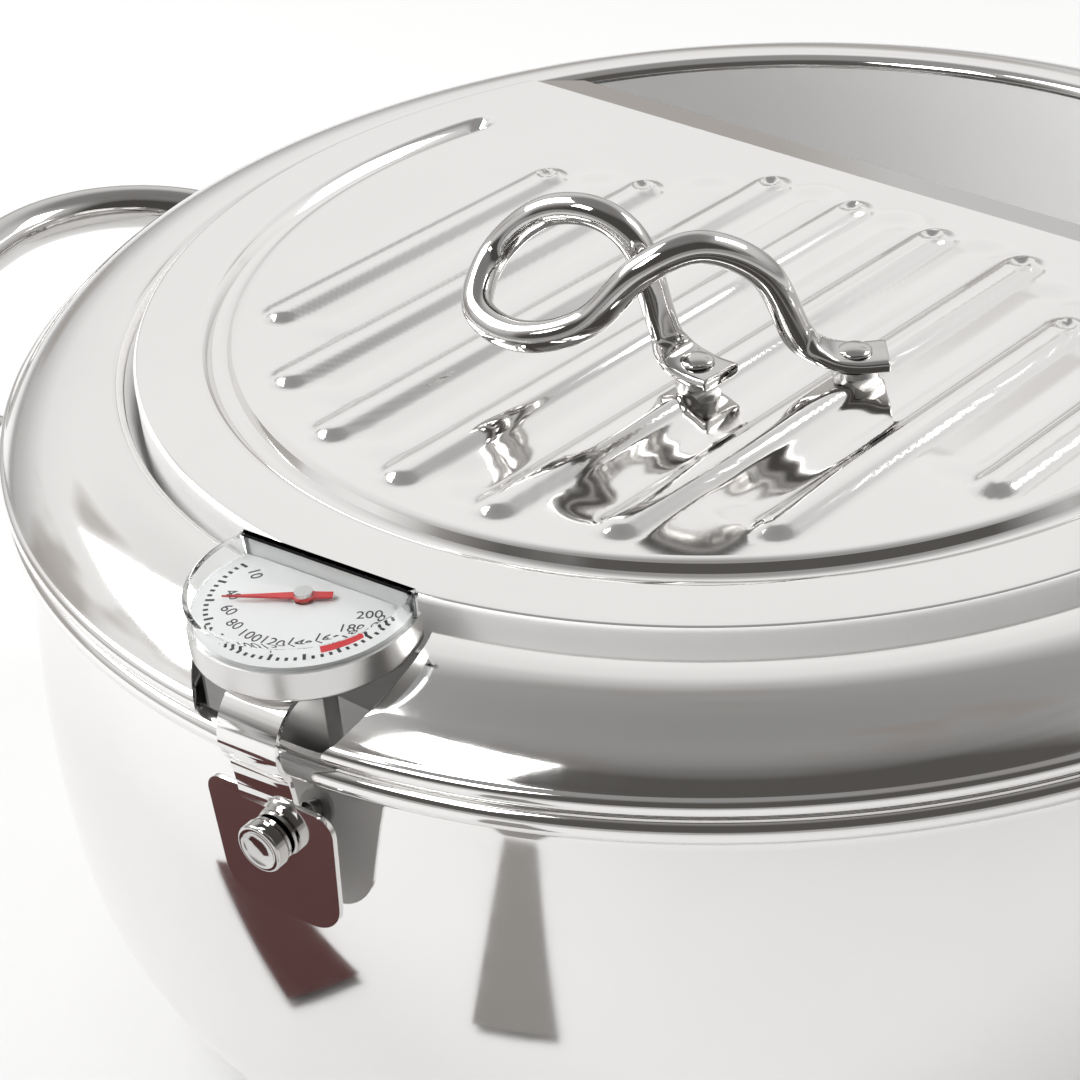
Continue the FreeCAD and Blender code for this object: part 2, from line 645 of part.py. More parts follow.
def make_coil(coil_low):
    """The bimetal strip wound as a helix between the plug and the arbor."""
    length = number("coil_pitch * coil_turns")
    helix = Part.makeHelix(number("coil_pitch"), length, number("coil_radius"))
    start = Vector(number("coil_radius"), 0, 0)
    half = number("coil_strip") / 2
    corners = [start + Vector(x, 0, z) for x, z in ((-half, -2 * half), (half, -2 * half),
                                                    (half, 2 * half), (-half, 2 * half))]
    section = Part.makePolygon(corners + corners[:1])
    strip = helix.makePipeShell([section], True, True)
    strip.translate(point(HUB_R, "0", coil_low) + Vector(0, 0, 2 * half))
    coil = doc.addObject("Part::Feature", "coil")
    coil.Shape = strip
    on_dial_side(coil, "bimetal_coil")


def make_pointer(height):
    """The tapered pointer and the small cap over its hub."""
    long, tail = number("pointer_long"), number("pointer_tail")
    wide, thick = number("pointer_wide"), number("pointer_thick")
    belly = number("pointer_belly")
    corners = [Vector(-tail, -wide / 2, 0), Vector(0, -belly, 0), Vector(long, 0, 0),
               Vector(0, belly, 0), Vector(-tail, wide / 2, 0)]
    blade = Part.Face(Part.makePolygon(corners + corners[:1])).extrude(Vector(0, 0, thick))
    hub = Part.makeCylinder(number("pointer_hub"), thick)
    blade = blade.fuse(hub).removeSplitter()
    blade.rotate(Vector(0, 0, 0), Vector(0, 0, 1), number("pointer_rest"))
    blade.translate(point(HUB_R, "0", height))
    item = doc.addObject("Part::Feature", "blade")
    item.Shape = blade
    on_dial_side(item, "pointer")
    cap = hub_hole("cap_disc", "hub_cap_radius", "hub_cap_high", f"{height} + pointer_thick")
    on_dial_side(cap, "pointer_cap")


def make_strap():
    """The strap: an arm under the case, a curl over the rim and the plate outside."""
    arm_in = f"({HUB_R} - case_flat + arm_start)"
    curl_z = f"({CASE_Z} - curl_radius)"
    bend_z = f"({RIM} - curl_end)"
    bend_x = f"({CURL_X} + sqrt(curl_radius ^ 2 - ({bend_z} - {curl_z}) ^ 2))"
    profile = outline("strap_profile", (arm_in, CASE_Z), (CURL_X, CASE_Z),
                      (f"{CURL_X} + curl_radius", curl_z, "curl_radius", -1),
                      (bend_x, bend_z, "curl_radius", -1),
                      (PLATE_X, f"{RIM} - plate_bend"),
                      (PLATE_X, f"{RIM} - plate_lap"))
    band = drawn_out("strap_band", thickened("strap_sheet", profile, "-strap_wall"),
                     "strap_wide")
    band.setExpression("Placement.Base.y", sized("strap_shift"))
    arm = box("strap_arm", f"{CURL_X} - {arm_in}", "arm_wide", "strap_wall",
              (arm_in, "0", f"{CASE_Z} - strap_wall"))
    plate_low = f"({RIM} - plate_top - plate_high)"
    plate = box("plate_blank", "strap_wall", "plate_wide", "plate_high",
                (f"{PLATE_X} - strap_wall", "strap_shift", plate_low))
    corners = make("Part::Fillet", "plate_rounded")
    corners.Base = plate
    doc.recompute()
    low = number(plate_low)
    rounded = [index + 1 for index, edge in enumerate(plate.Shape.Edges)
               if abs(edge.Vertexes[0].X - edge.Vertexes[-1].X) > 0.1
               and abs(edge.Vertexes[0].Z - low) < 0.01]
    radius = number("plate_corner")
    corners.Edges = [(index, radius, radius) for index in rounded]
    whole = fuse("strap_whole", arm, band, corners)
    holes = fuse("strap_holes", hub_hole("arm_hole", "stem_radius + fit_gap",
                                         f"strap_wall + {TOOL_SPAN}",
                                         f"{CASE_Z} - strap_wall - {TOOL_OVER}"),
                 level_cylinder("screw_hole", "screw_radius + screw_clear",
                                f"strap_wall + {TOOL_SPAN}",
                                (f"{PLATE_X} - strap_wall - {TOOL_OVER}", "strap_shift",
                                 SCREW_Z)))
    on_dial_side(cut("strap", whole, holes), "thermometer_strap")
    nut = hex_nut()
    on_dial_side(nut, "stem_nut")
    leg_out = f"({NECK_R} - pot_wall - leg_gap)"
    leg_top = f"({CASE_Z} - strap_wall)"
    leg = fuse("leg", box("leg_blade", "strap_wall", "leg_wide", "leg_deep",
                          (f"{leg_out} - strap_wall", "strap_shift",
                           f"{leg_top} - leg_deep")),
               box("leg_tab", "leg_flange", "leg_wide", "strap_wall",
                   (f"{leg_out} - strap_wall", "strap_shift", f"{leg_top} - strap_wall")))
    on_dial_side(leg, "clamp_inner_leg")


def hex_nut():
    """The nut that draws the case down on the strap."""
    top = number(f"{CASE_Z} - strap_wall")
    high = number("nut_high")
    corner = number("nut_flats") / math.sqrt(3)
    points = [Vector(corner * math.cos(math.radians(60 * n)),
                     corner * math.sin(math.radians(60 * n)), 0) for n in range(7)]
    block = Part.Face(Part.makePolygon(points)).extrude(Vector(0, 0, high))
    block = block.cut(Part.makeCylinder(number("stem_radius + fit_gap"), high))
    block.translate(Vector(number(HUB_R), 0, top - high))
    item = doc.addObject("Part::Feature", "nut")
    item.Shape = block
    return item


def make_screw():
    """The clamp screw with its knob, and the threaded bush in the plate."""
    tip = f"({wall_radius(f'({SCREW_Z} - screw_radius)')} + tip_gap)"
    knob_x = f"({PLATE_X} + screw_clear)"
    shank = level_cylinder("shank", "screw_radius", f"{knob_x} - {tip} + knob_high / 3",
                           (tip, "strap_shift", SCREW_Z))
    knob = level_cylinder("knob", "knob_radius", "knob_high",
                          (knob_x, "strap_shift", SCREW_Z))
    edge = make("Part::Fillet", "knob_rounded")
    edge.Base = knob
    doc.recompute()
    radius = number("knob_edge")
    edge.Edges = [(index + 1, radius, radius) for index, rim in enumerate(knob.Shape.Edges)
                  if isinstance(rim.Curve, Part.Circle)]
    on_dial_side(fuse("screw", shank, edge), "clamp_screw")
    bush_x = f"({PLATE_X} - strap_wall - screw_bush_long)"
    bush = cut("clamp_bush_body",
               level_cylinder("bush_outer", "screw_radius + screw_bush", "screw_bush_long",
                              (bush_x, "strap_shift", SCREW_Z)),
               level_cylinder("bush_thread", "screw_radius + fit_gap",
                              f"screw_bush_long + {TOOL_SPAN}",
                              (f"{bush_x} - {TOOL_OVER}", "strap_shift", SCREW_Z)))
    on_dial_side(bush, "clamp_bush")


def check():
    """Stops on any object that failed, or any part whose shape is not sound."""
    doc.recompute()
    for item in doc.Objects:
        if "Invalid" in item.State or "Error" in item.State:
            raise RuntimeError(f"{item.Name} failed: {item.State}")
    for part in PARTS:
        if part.Shape.isNull() or not part.Shape.isValid() or not part.Shape.Solids:
            raise RuntimeError(f"{part.Label} has no sound shape")


make_pot()
make_base()
make_handle("left", 180)
make_handle("right", 0)
make_ring()
make_collar()
make_lid()
make_lid_handle()
make_case()
make_movement()
make_strap()
make_screw()
check()

os.makedirs("parts", exist_ok=True)
for part in PARTS:
    part.Shape.exportStep(f"parts/{part.Label}.step")
    solids = part.Shape.Solids
    print(f"{part.Label}: {len(solids)} solids, {sum(s.Volume for s in solids):.1f} mm3")
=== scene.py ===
"""Looks of a 24 cm stovetop frying pot: spun and polished steel, a clear dial cap and a studio."""

import logging
import math
from dataclasses import dataclass
from enum import Enum
from typing import Callable, Iterable, Sequence

import bpy
from mathutils import Matrix, Vector

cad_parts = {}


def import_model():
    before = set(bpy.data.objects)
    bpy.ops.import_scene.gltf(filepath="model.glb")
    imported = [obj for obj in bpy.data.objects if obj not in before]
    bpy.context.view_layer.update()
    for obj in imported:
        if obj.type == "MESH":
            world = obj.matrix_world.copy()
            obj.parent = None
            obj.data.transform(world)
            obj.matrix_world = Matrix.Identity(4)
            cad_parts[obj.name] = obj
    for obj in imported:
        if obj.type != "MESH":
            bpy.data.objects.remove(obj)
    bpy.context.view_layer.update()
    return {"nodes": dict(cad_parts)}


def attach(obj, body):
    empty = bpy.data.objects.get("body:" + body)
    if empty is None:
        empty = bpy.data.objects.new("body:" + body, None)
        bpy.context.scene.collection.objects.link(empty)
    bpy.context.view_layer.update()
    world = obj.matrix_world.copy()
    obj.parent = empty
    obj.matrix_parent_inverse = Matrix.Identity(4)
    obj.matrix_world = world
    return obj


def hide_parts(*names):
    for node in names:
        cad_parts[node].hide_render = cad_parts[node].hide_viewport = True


LOG = logging.getLogger("frying_pot")
MM = 0.001
UP = Vector((0.0, 0.0, 1.0))

Point = tuple[float, float]


# ---------------------------------------------------------------- bench helpers

def deselect() -> None:
    """Leaves nothing selected and no piece being edited."""
    if bpy.context.object is not None and bpy.context.object.mode != "OBJECT":
        bpy.ops.object.mode_set(mode="OBJECT")
    bpy.ops.object.select_all(action="DESELECT")


def pick(piece: bpy.types.Object) -> None:
    """Selects one piece alone and makes it active.

    Args:
        piece: The object to work on.
    """
    deselect()
    piece.select_set(True)
    bpy.context.view_layer.objects.active = piece


def editing(piece: bpy.types.Object, steps: Callable[[], object]) -> None:
    """Runs some edit mode steps with the whole mesh selected first.

    Args:
        piece: The object to edit.
        steps: What to do in edit mode.
    """
    pick(piece)
    bpy.ops.object.mode_set(mode="EDIT")
    bpy.ops.mesh.select_all(action="SELECT")
    steps()
    bpy.ops.object.mode_set(mode="OBJECT")


def chosen(piece: bpy.types.Object, test: Callable[..., bool], kind: str = "EDGE") -> None:
    """Selects the edges or faces that pass a test, and nothing else.

    Args:
        piece: The mesh.
        test: Says whether an edge or a face is wanted.
        kind: EDGE or FACE.
    """
    mesh = piece.data
    for group in (mesh.vertices, mesh.edges, mesh.polygons):
        group.foreach_set("select", [False] * len(group))
    for item in mesh.edges if kind == "EDGE" else mesh.polygons:
        if test(item):
            item.select = True
            if kind == "EDGE":
                for n in item.vertices:
                    mesh.vertices[n].select = True


def editing_chosen(piece: bpy.types.Object, test: Callable[..., bool], steps: Callable[[], object],
                   kind: str = "EDGE") -> None:
    """Runs some edit mode steps on the edges or faces that pass a test.

    Args:
        piece: The object to edit.
        test: Says whether an edge or a face is wanted.
        steps: What to do in edit mode.
        kind: EDGE or FACE.
    """
    chosen(piece, test, kind)
    pick(piece)
    bpy.context.tool_settings.mesh_select_mode = (False, kind == "EDGE", kind == "FACE")
    bpy.ops.object.mode_set(mode="EDIT")
    steps()
    bpy.ops.object.mode_set(mode="OBJECT")
    bpy.context.tool_settings.mesh_select_mode = (True, False, False)


def rounded(piece: bpy.types.Object, test: Callable[..., bool], offset: float,
            segments: int) -> None:
    """Rounds the edges that pass a test.

    Args:
        piece: The object to edit.
        test: Says whether an edge is wanted.
        offset: How far the rounding starts from the edge, in millimetres.
        segments: How many faces it has across.
    """
    editing_chosen(piece, test, lambda: bpy.ops.mesh.bevel(
        offset=offset * MM, segments=segments, affect="EDGES"))


def softened(piece: bpy.types.Object, width: float, segments: int) -> None:
    """Takes the sharpness off every edge of more than 50 degrees.

    Args:
        piece: The object to change.
        width: How wide the rounding is, in millimetres.
        segments: How many faces it has across.
    """
    modified(piece, "BEVEL", width=width * MM, segments=segments, limit_method="ANGLE",
             angle_limit=math.radians(50))


def combined(piece: bpy.types.Object, other: bpy.types.Object, how: str) -> None:
    """Cuts a piece with another one, adds it or keeps what both hold, then removes the other.

    Args:
        piece: The object to change.
        other: The object that is used up.
        how: DIFFERENCE, UNION or INTERSECT.
    """
    modified(piece, "BOOLEAN", object=other, operation=how, solver="EXACT")
    bpy.data.objects.remove(other)


def block(name: str, x: Point, y: Point, z: Point) -> bpy.types.Object:
    """A plain block between three pairs of limits, in millimetres.

    Args:
        name: The new object's name.
        x: Its first and last x.
        y: Its first and last y.
        z: Its first and last z.

    Returns:
        The new object.
    """
    deselect()
    middle = [(a + b) / 2 * MM for a, b in (x, y, z)]
    bpy.ops.mesh.primitive_cube_add(size=1, location=middle,
                                    scale=[(b - a) * MM for a, b in (x, y, z)])
    return settled(name)


def drum(name: str, centre: Point, radius: float, z: Point, sides: int) -> bpy.types.Object:
    """An upright round drum, in millimetres.

    Args:
        name: The new object's name.
        centre: Its axis's x and y.
        radius: Its radius.
        z: Its first and last z.
        sides: How many flat sides make the round.

    Returns:
        The new object.
    """
    deselect()
    bpy.ops.mesh.primitive_cylinder_add(
        vertices=sides, radius=radius * MM, depth=(z[1] - z[0]) * MM,
        location=(centre[0] * MM, centre[1] * MM, (z[0] + z[1]) / 2 * MM))
    return settled(name)


def settled(name: str) -> bpy.types.Object:
    """Names the object just made and applies its place, turn and size."""
    bpy.ops.object.transform_apply(location=True, rotation=True, scale=True)
    piece = bpy.context.object
    piece.name = piece.data.name = name
    return piece


def drawn_line(name: str, points: Sequence[Vector]) -> bpy.types.Object:
    """A chain of edges drawn by extruding one vertex from point to point.

    Args:
        name: The new object's name.
        points: The chain's corners, in metres.

    Returns:
        The new object.
    """
    deselect()
    bpy.ops.mesh.primitive_plane_add(size=0.01)
    piece = bpy.context.object
    piece.name = piece.data.name = name

    def draw() -> None:
        bpy.ops.mesh.merge(type="CENTER")
        bpy.ops.transform.translate(value=points[0])
        for before, after in zip(points, points[1:]):
            bpy.ops.mesh.extrude_vertices_move(TRANSFORM_OT_translate={"value": after - before})

    editing(piece, draw)
    return piece


def arc(centre: Point, radius: float, start: float, end: float, steps: int) -> list[Point]:
    """Points along an arc in a profile's plane.

    Args:
        centre: The arc's centre, radius and height in millimetres.
        radius: The arc's radius in millimetres.
        start: The first angle in degrees.
        end: The last angle in degrees.
        steps: How many runs it is divided into.

    Returns:
        The arc's points, both ends included.
    """
    turns = [math.radians(start + (end - start) * n / steps) for n in range(steps + 1)]
    return [(centre[0] + radius * math.cos(t), centre[1] + radius * math.sin(t)) for t in turns]


def arc_to(start: Point, end: Point, radius: float, side: int, steps: int) -> list[Point]:
    """Points along the short arc between two points.

    Args:
        start: The first point.
        end: The last point.
        radius: The arc's radius.
        side: 1 when the centre lies to the left of the way, -1 to the right.
        steps: How many runs it is divided into.

    Returns:
        The arc's points after the first one.
    """
    first, last = Vector(start), Vector(end)
    along = last - first
    across = Vector((-along.y, along.x)).normalized() * side
    centre = (first + last) / 2 + across * math.sqrt(radius ** 2 - along.length ** 2 / 4)
    begin = math.atan2(first.y - centre.y, first.x - centre.x)
    finish = math.atan2(last.y - centre.y, last.x - centre.x)
    sweep = math.remainder(finish - begin, math.tau)
    turns = [begin + sweep * (n + 1) / steps for n in range(steps)]
    return [(centre.x + radius * math.cos(t), centre.y + radius * math.sin(t)) for t in turns]


def spun(name: str, profile: Sequence[Point], steps: int = 288,
         axis: Vector = UP, along: Callable[[Point], Vector] | None = None,
         centre: Vector = Vector((0, 0, 0))) -> bpy.types.Object:
    """A profile spun into a closed round.

    Args:
        name: The new object's name.
        profile: Points as radius and height in millimetres.
        steps: How many runs the round has.
        axis: The axis to spin about.
        along: How a profile point becomes a place, when the axis isn't upright.
        centre: A point on the axis, in metres.

    Returns:
        The new object, smooth shaded.
    """
    place = along or (lambda p: Vector((p[0], 0, p[1])) * MM)
    piece = drawn_line(name, [place(p) for p in profile])

    def spin() -> None:
        bpy.ops.mesh.spin(steps=steps, angle=math.tau, center=centre, axis=axis)
        bpy.ops.mesh.select_all(action="SELECT")
        bpy.ops.mesh.remove_doubles(threshold=2e-6)
        bpy.ops.mesh.normals_make_consistent(inside=False)

    editing(piece, spin)
    smooth(piece)
    return piece


def smooth(piece: bpy.types.Object, angle: float = 35.0) -> None:
    """Shades a piece smooth, with edges sharper than an angle left crisp.

    Args:
        piece: The object to shade.
        angle: The sharpest smooth angle in degrees.
    """
    pick(piece)
    bpy.ops.object.shade_smooth_by_angle(angle=math.radians(angle))


def modified(piece: bpy.types.Object, kind: str, **settings: object) -> None:
    """Adds one modifier and applies it.

    Args:
        piece: The object to change.
        kind: The modifier's type.
        settings: The modifier's properties.
    """
    pick(piece)
    change = piece.modifiers.new(kind.title(), kind)
    for key, setting in settings.items():
        setattr(change, key, setting)
    bpy.ops.object.modifier_apply(modifier=change.name)


def weighted(piece: bpy.types.Object) -> None:
    """Keeps the shading of a piece's large flat faces truly flat."""
    modified(piece, "WEIGHTED_NORMAL", keep_sharp=True)


def walled(piece: bpy.types.Object, wall: float, side: float) -> None:
    """Gives an open surface its wall.

    Args:
        piece: The surface.
        wall: The wall in millimetres.
        side: -1 to grow against the normals, 1 along them.
    """
    modified(piece, "SOLIDIFY", thickness=wall * MM, offset=side, use_even_offset=True)


def turned(piece: bpy.types.Object, azimuth: float) -> bpy.types.Object:
    """Turns a piece about the pot's axis and settles it there.

    Args:
        piece: The object to turn.
        azimuth: The angle in degrees.

    Returns:
        The same object.
    """
    pick(piece)
    piece.rotation_euler.z = math.radians(azimuth)
    bpy.ops.object.transform_apply(location=True, rotation=True, scale=True)
    return piece


def joined(name: str, pieces: Sequence[bpy.types.Object]) -> bpy.types.Object:
    """Several meshes joined into one object.

    Args:
        name: The joined object's name.
        pieces: The meshes.

    Returns:
        The joined object.
    """
    pick(pieces[0])
    for piece in pieces[1:]:
        piece.select_set(True)
    bpy.ops.object.join()
    pieces[0].name = name
    return pieces[0]


def mesh_from(name: str, points: Iterable[Vector], faces: Iterable[Sequence[int]]
              ) -> bpy.types.Object:
    """A mesh from its points and faces.

    Args:
        name: The new object's name.
        points: The points in metres.
        faces: Each face's point numbers.

    Returns:
        The new object.
    """
    mesh = bpy.data.meshes.new(name)
    mesh.from_pydata([tuple(p) for p in points], [], list(faces))
    piece = bpy.data.objects.new(name, mesh)
    bpy.context.scene.collection.objects.link(piece)
    return piece


def face_up(piece: bpy.types.Object) -> None:
    """Makes an open sheet's faces agree and look upwards.

    Args:
        piece: The sheet.
    """
    def agree() -> None:
        bpy.ops.mesh.remove_doubles(threshold=2e-6)
        bpy.ops.mesh.normals_make_consistent(inside=False)

    editing(piece, agree)
    if sum(face.normal.z * face.area for face in piece.data.polygons) < 0:
        editing(piece, bpy.ops.mesh.flip_normals)


def smooth_step(value: float) -> float:
    """A soft rise from 0 to 1 as the value goes from 0 to 1."""
    held = min(1.0, max(0.0, value))
    return held * held * (3 - 2 * held)


# ---------------------------------------------------------------- finishes

def node(tree: bpy.types.NodeTree, kind: str, **settings: object) -> bpy.types.Node:
    """A new node with its properties and its plain inputs set.

    Args:
        tree: The node tree it goes in.
        kind: The node's type name.
        settings: Properties, or inputs by name with spaces as underscores.

    Returns:
        The node.
    """
    made = tree.nodes.new(kind)
    for key, setting in settings.items():
        socket = made.inputs.get(key.replace("_", " "))
        if socket is None:
            setattr(made, key, setting)
        else:
            socket.default_value = setting
    return made


def polish_group() -> bpy.types.NodeTree:
    """The buffed sheet effect: faint wiping marks, smudges and a soft waviness.

    Returns:
        The shared node group.
    """
    name = "buffed_sheet"
    if name in bpy.data.node_groups:
        return bpy.data.node_groups[name]
    tree = bpy.data.node_groups.new(name, "ShaderNodeTree")
    face = tree.interface
    for title, kind, start in (("Smear", "NodeSocketFloat", 0.5), ("Base", "NodeSocketFloat", 0.06),
                               ("Wave", "NodeSocketFloat", 0.3), ("Tint", "NodeSocketColor", None)):
        socket = face.new_socket(title, in_out="INPUT", socket_type=kind)
        if start is not None:
            socket.default_value = start
    for title, kind in (("Color", "NodeSocketColor"), ("Roughness", "NodeSocketFloat"),
                        ("Height", "NodeSocketFloat")):
        face.new_socket(title, in_out="OUTPUT", socket_type=kind)
    inside, outside = tree.nodes.new("NodeGroupInput"), tree.nodes.new("NodeGroupOutput")
    place = node(tree, "ShaderNodeTexCoord")
    haze = node(tree, "ShaderNodeTexNoise", Scale=22.0, Detail=5.0, Roughness=0.6)
    wipe = node(tree, "ShaderNodeTexNoise", Scale=260.0, Detail=3.0)
    stretch = node(tree, "ShaderNodeMapping")
    stretch.inputs["Scale"].default_value = (1.0, 0.12, 1.0)
    wave = node(tree, "ShaderNodeTexNoise", Scale=9.0, Detail=1.0)
    link = tree.links.new
    for texture in (haze, wave):
        link(place.outputs["Object"], texture.inputs["Vector"])
    link(place.outputs["Object"], stretch.inputs["Vector"])
    link(stretch.outputs["Vector"], wipe.inputs["Vector"])
    mixed = node(tree, "ShaderNodeMath", operation="MULTIPLY_ADD")
    link(haze.outputs["Fac"], mixed.inputs[0])
    mixed.inputs[1].default_value = 0.10
    link(wipe.outputs["Fac"], mixed.inputs[2])
    part = node(tree, "ShaderNodeMath", operation="MULTIPLY")
    link(mixed.outputs[0], part.inputs[0])
    link(inside.outputs["Smear"], part.inputs[1])
    small = node(tree, "ShaderNodeMath", operation="MULTIPLY_ADD")
    link(part.outputs[0], small.inputs[0])
    small.inputs[1].default_value = 0.12
    link(inside.outputs["Base"], small.inputs[2])
    link(small.outputs[0], outside.inputs["Roughness"])
    shade = node(tree, "ShaderNodeMix", data_type="RGBA")
    link(haze.outputs["Fac"], shade.inputs["Factor"])
    link(inside.outputs["Tint"], shade.inputs[6])
    darker = node(tree, "ShaderNodeHueSaturation", Value=0.93)
    link(inside.outputs["Tint"], darker.inputs["Color"])
    link(darker.outputs["Color"], shade.inputs[7])
    link(shade.outputs[2], outside.inputs["Color"])
    tall = node(tree, "ShaderNodeMath", operation="MULTIPLY")
    link(wave.outputs["Fac"], tall.inputs[0])
    link(inside.outputs["Wave"], tall.inputs[1])
    link(tall.outputs[0], outside.inputs["Height"])
    return tree


def material(name: str, shape: Callable[[bpy.types.NodeTree, bpy.types.Node], None]
             ) -> bpy.types.Material:
    """A material made the first time it is asked for.

    Args:
        name: The material's name.
        shape: Sets up its nodes, given the tree and the shader.

    Returns:
        The material.
    """
    if name not in bpy.data.materials:
        made = bpy.data.materials.new(name)
        made.use_nodes = True
        shape(made.node_tree, made.node_tree.nodes["Principled BSDF"])
    return bpy.data.materials[name]


@dataclass(frozen=True)
class MetalFinish:
    """A sheet metal finish: its tint, gloss, smears, waviness and how far it is brushed."""

    name: str
    tint: tuple[float, float, float]
    gloss: float = 0.05
    smear: float = 0.5
    wave: float = 0.2
    brushed: float = 0.0
    metal: float = 1.0

    def build(self) -> bpy.types.Material:
        """The material, made once."""
        return material(self.name, self.shape)

    def shape(self, tree: bpy.types.NodeTree, shader: bpy.types.Node) -> None:
        """Sets up the material's nodes.

        Args:
            tree: The material's node tree.
            shader: Its shader.
        """
        shader.inputs["Metallic"].default_value = self.metal
        effect = node(tree, "ShaderNodeGroup")
        effect.node_tree = polish_group()
        effect.inputs["Smear"].default_value = self.smear
        effect.inputs["Base"].default_value = self.gloss
        effect.inputs["Wave"].default_value = self.wave
        effect.inputs["Tint"].default_value = (*self.tint, 1.0)
        link = tree.links.new
        link(effect.outputs["Color"], shader.inputs["Base Color"])
        link(effect.outputs["Roughness"], shader.inputs["Roughness"])
        bump = node(tree, "ShaderNodeBump", Strength=0.12, Distance=0.0006)
        link(effect.outputs["Height"], bump.inputs["Height"])
        link(bump.outputs["Normal"], shader.inputs["Normal"])
        if self.brushed:
            place = node(tree, "ShaderNodeTexCoord")
            rings = node(tree, "ShaderNodeTexWave", wave_type="RINGS", rings_direction="Z",
                         Scale=180.0, Distortion=0.6, Detail=2.0)
            link(place.outputs["Object"], rings.inputs["Vector"])
            fine = node(tree, "ShaderNodeBump", Strength=self.brushed, Distance=0.0002)
            link(rings.outputs["Fac"], fine.inputs["Height"])
            link(bump.outputs["Normal"], fine.inputs["Normal"])
            link(fine.outputs["Normal"], shader.inputs["Normal"])


@dataclass(frozen=True)
class PlainFinish:
    """A painted, printed or moulded finish with a little mottling in tone and gloss."""

    name: str
    tint: tuple[float, float, float]
    gloss: float = 0.4
    mottle: float = 0.05
    metal: float = 0.0

    def build(self) -> bpy.types.Material:
        """The material, made once."""
        return material(self.name, self.shape)

    def shape(self, tree: bpy.types.NodeTree, shader: bpy.types.Node) -> None:
        """Sets up the material's nodes.

        Args:
            tree: The material's node tree.
            shader: Its shader.
        """
        shader.inputs["Metallic"].default_value = self.metal
        place = node(tree, "ShaderNodeTexCoord")
        grain = node(tree, "ShaderNodeTexNoise", Scale=900.0, Detail=3.0)
        tree.links.new(place.outputs["Object"], grain.inputs["Vector"])
        ramp = node(tree, "ShaderNodeValToRGB")
        low = [c * (1 - self.mottle) for c in self.tint]
        ramp.color_ramp.elements[0].color = (*low, 1.0)
        ramp.color_ramp.elements[1].color = (*self.tint, 1.0)
        tree.links.new(grain.outputs["Fac"], ramp.inputs["Fac"])
        tree.links.new(ramp.outputs["Color"], shader.inputs["Base Color"])
        rough = node(tree, "ShaderNodeMapRange", To_Min=self.gloss * 0.85, To_Max=self.gloss * 1.15)
        tree.links.new(grain.outputs["Fac"], rough.inputs["Value"])
        tree.links.new(rough.outputs["Result"], shader.inputs["Roughness"])


@dataclass(frozen=True)
class ClearFinish:
    """The clear moulded cap over the dial."""

    name: str = "clear_cap"

    def build(self) -> bpy.types.Material:
        """The material, made once."""
        return material(self.name, self.shape)

    def shape(self, tree: bpy.types.NodeTree, shader: bpy.types.Node) -> None:
        """Sets up the material's nodes.

        Args:
            tree: The material's node tree.
            shader: Its shader.
        """
        shader.inputs["Transmission Weight"].default_value = 1.0
        shader.inputs["IOR"].default_value = 1.14
        shader.inputs["Base Color"].default_value = (0.98, 0.99, 0.99, 1.0)
        place = node(tree, "ShaderNodeTexCoord")
        haze = node(tree, "ShaderNodeTexNoise", Scale=300.0, Detail=2.0)
        tree.links.new(place.outputs["Object"], haze.inputs["Vector"])
        rough = node(tree, "ShaderNodeMapRange", To_Min=0.0, To_Max=0.03)
        tree.links.new(haze.outputs["Fac"], rough.inputs["Value"])
        tree.links.new(rough.outputs["Result"], shader.inputs["Roughness"])


class Finish(Enum):
    """Every finish on the pot."""

    POLISHED = MetalFinish("polished_sheet", (0.86, 0.85, 0.84), gloss=0.035)
    # Satin steel kept light and almost without metal so that inward and back faces read bright:
    # partly a real satin finish, partly painted light on faces in shade.
    INNER = MetalFinish("satin_inner_painted_light", (0.93, 0.925, 0.92), gloss=0.42, smear=1.0, metal=0.08)
    LID = MetalFinish("polished_lid", (0.88, 0.87, 0.86), gloss=0.04, wave=0.3)
    ROD = MetalFinish("polished_rod", (0.6, 0.59, 0.58), gloss=0.03)
    SATIN = MetalFinish("satin_steel_look", (0.7, 0.7, 0.69), gloss=0.28, smear=1.0)
    CASE = MetalFinish("satin_case", (0.72, 0.71, 0.7), gloss=0.2, smear=0.8)
    TURNED = MetalFinish("turned_base", (0.62, 0.62, 0.61), gloss=0.22, brushed=0.35)
    ALUMINIUM = MetalFinish("base_core_look", (0.78, 0.78, 0.79), gloss=0.35)
    BRASS = MetalFinish("turned_brass", (0.8, 0.6, 0.28), gloss=0.2)
    BIMETAL = MetalFinish("bimetal_strip", (0.62, 0.55, 0.46), gloss=0.3)
    CLEAR = ClearFinish()
    EDGE = PlainFinish("opaque_grey_edge", (0.72, 0.73, 0.73), gloss=0.25, mottle=0.1)
    DIAL = PlainFinish("dial_enamel", (0.78, 0.78, 0.775), gloss=0.35, mottle=0.02)
    INK = PlainFinish("dial_ink", (0.02, 0.02, 0.02), gloss=0.5, mottle=0.2)
    RED = PlainFinish("pointer_enamel", (0.62, 0.02, 0.025), gloss=0.3, mottle=0.1)
    RUBBER = PlainFinish("gasket_rubber", (0.03, 0.03, 0.03), gloss=0.6, mottle=0.2)


def dress(piece: bpy.types.Object, finish: Finish) -> None:
    """Gives a piece one finish all over.

    Args:
        piece: The object to dress.
        finish: The finish it gets.
    """
    piece.data.materials.clear()
    piece.data.materials.append(finish.value.build())


def line_inside(piece: bpy.types.Object, top: float) -> None:
    """Gives the faces that look inwards below a height the light satin finish, which partly paints
    in light on these shaded faces.

    Args:
        piece: A round sheet about the pot's axis.
        top: The height in millimetres.
    """
    piece.data.materials.append(Finish.INNER.value.build())
    for face in piece.data.polygons:
        centre = face.center
        inwards = face.normal.x * centre.x + face.normal.y * centre.y < 0
        if centre.z < top * MM and (inwards or face.normal.z > 0.9):
            face.material_index = 1


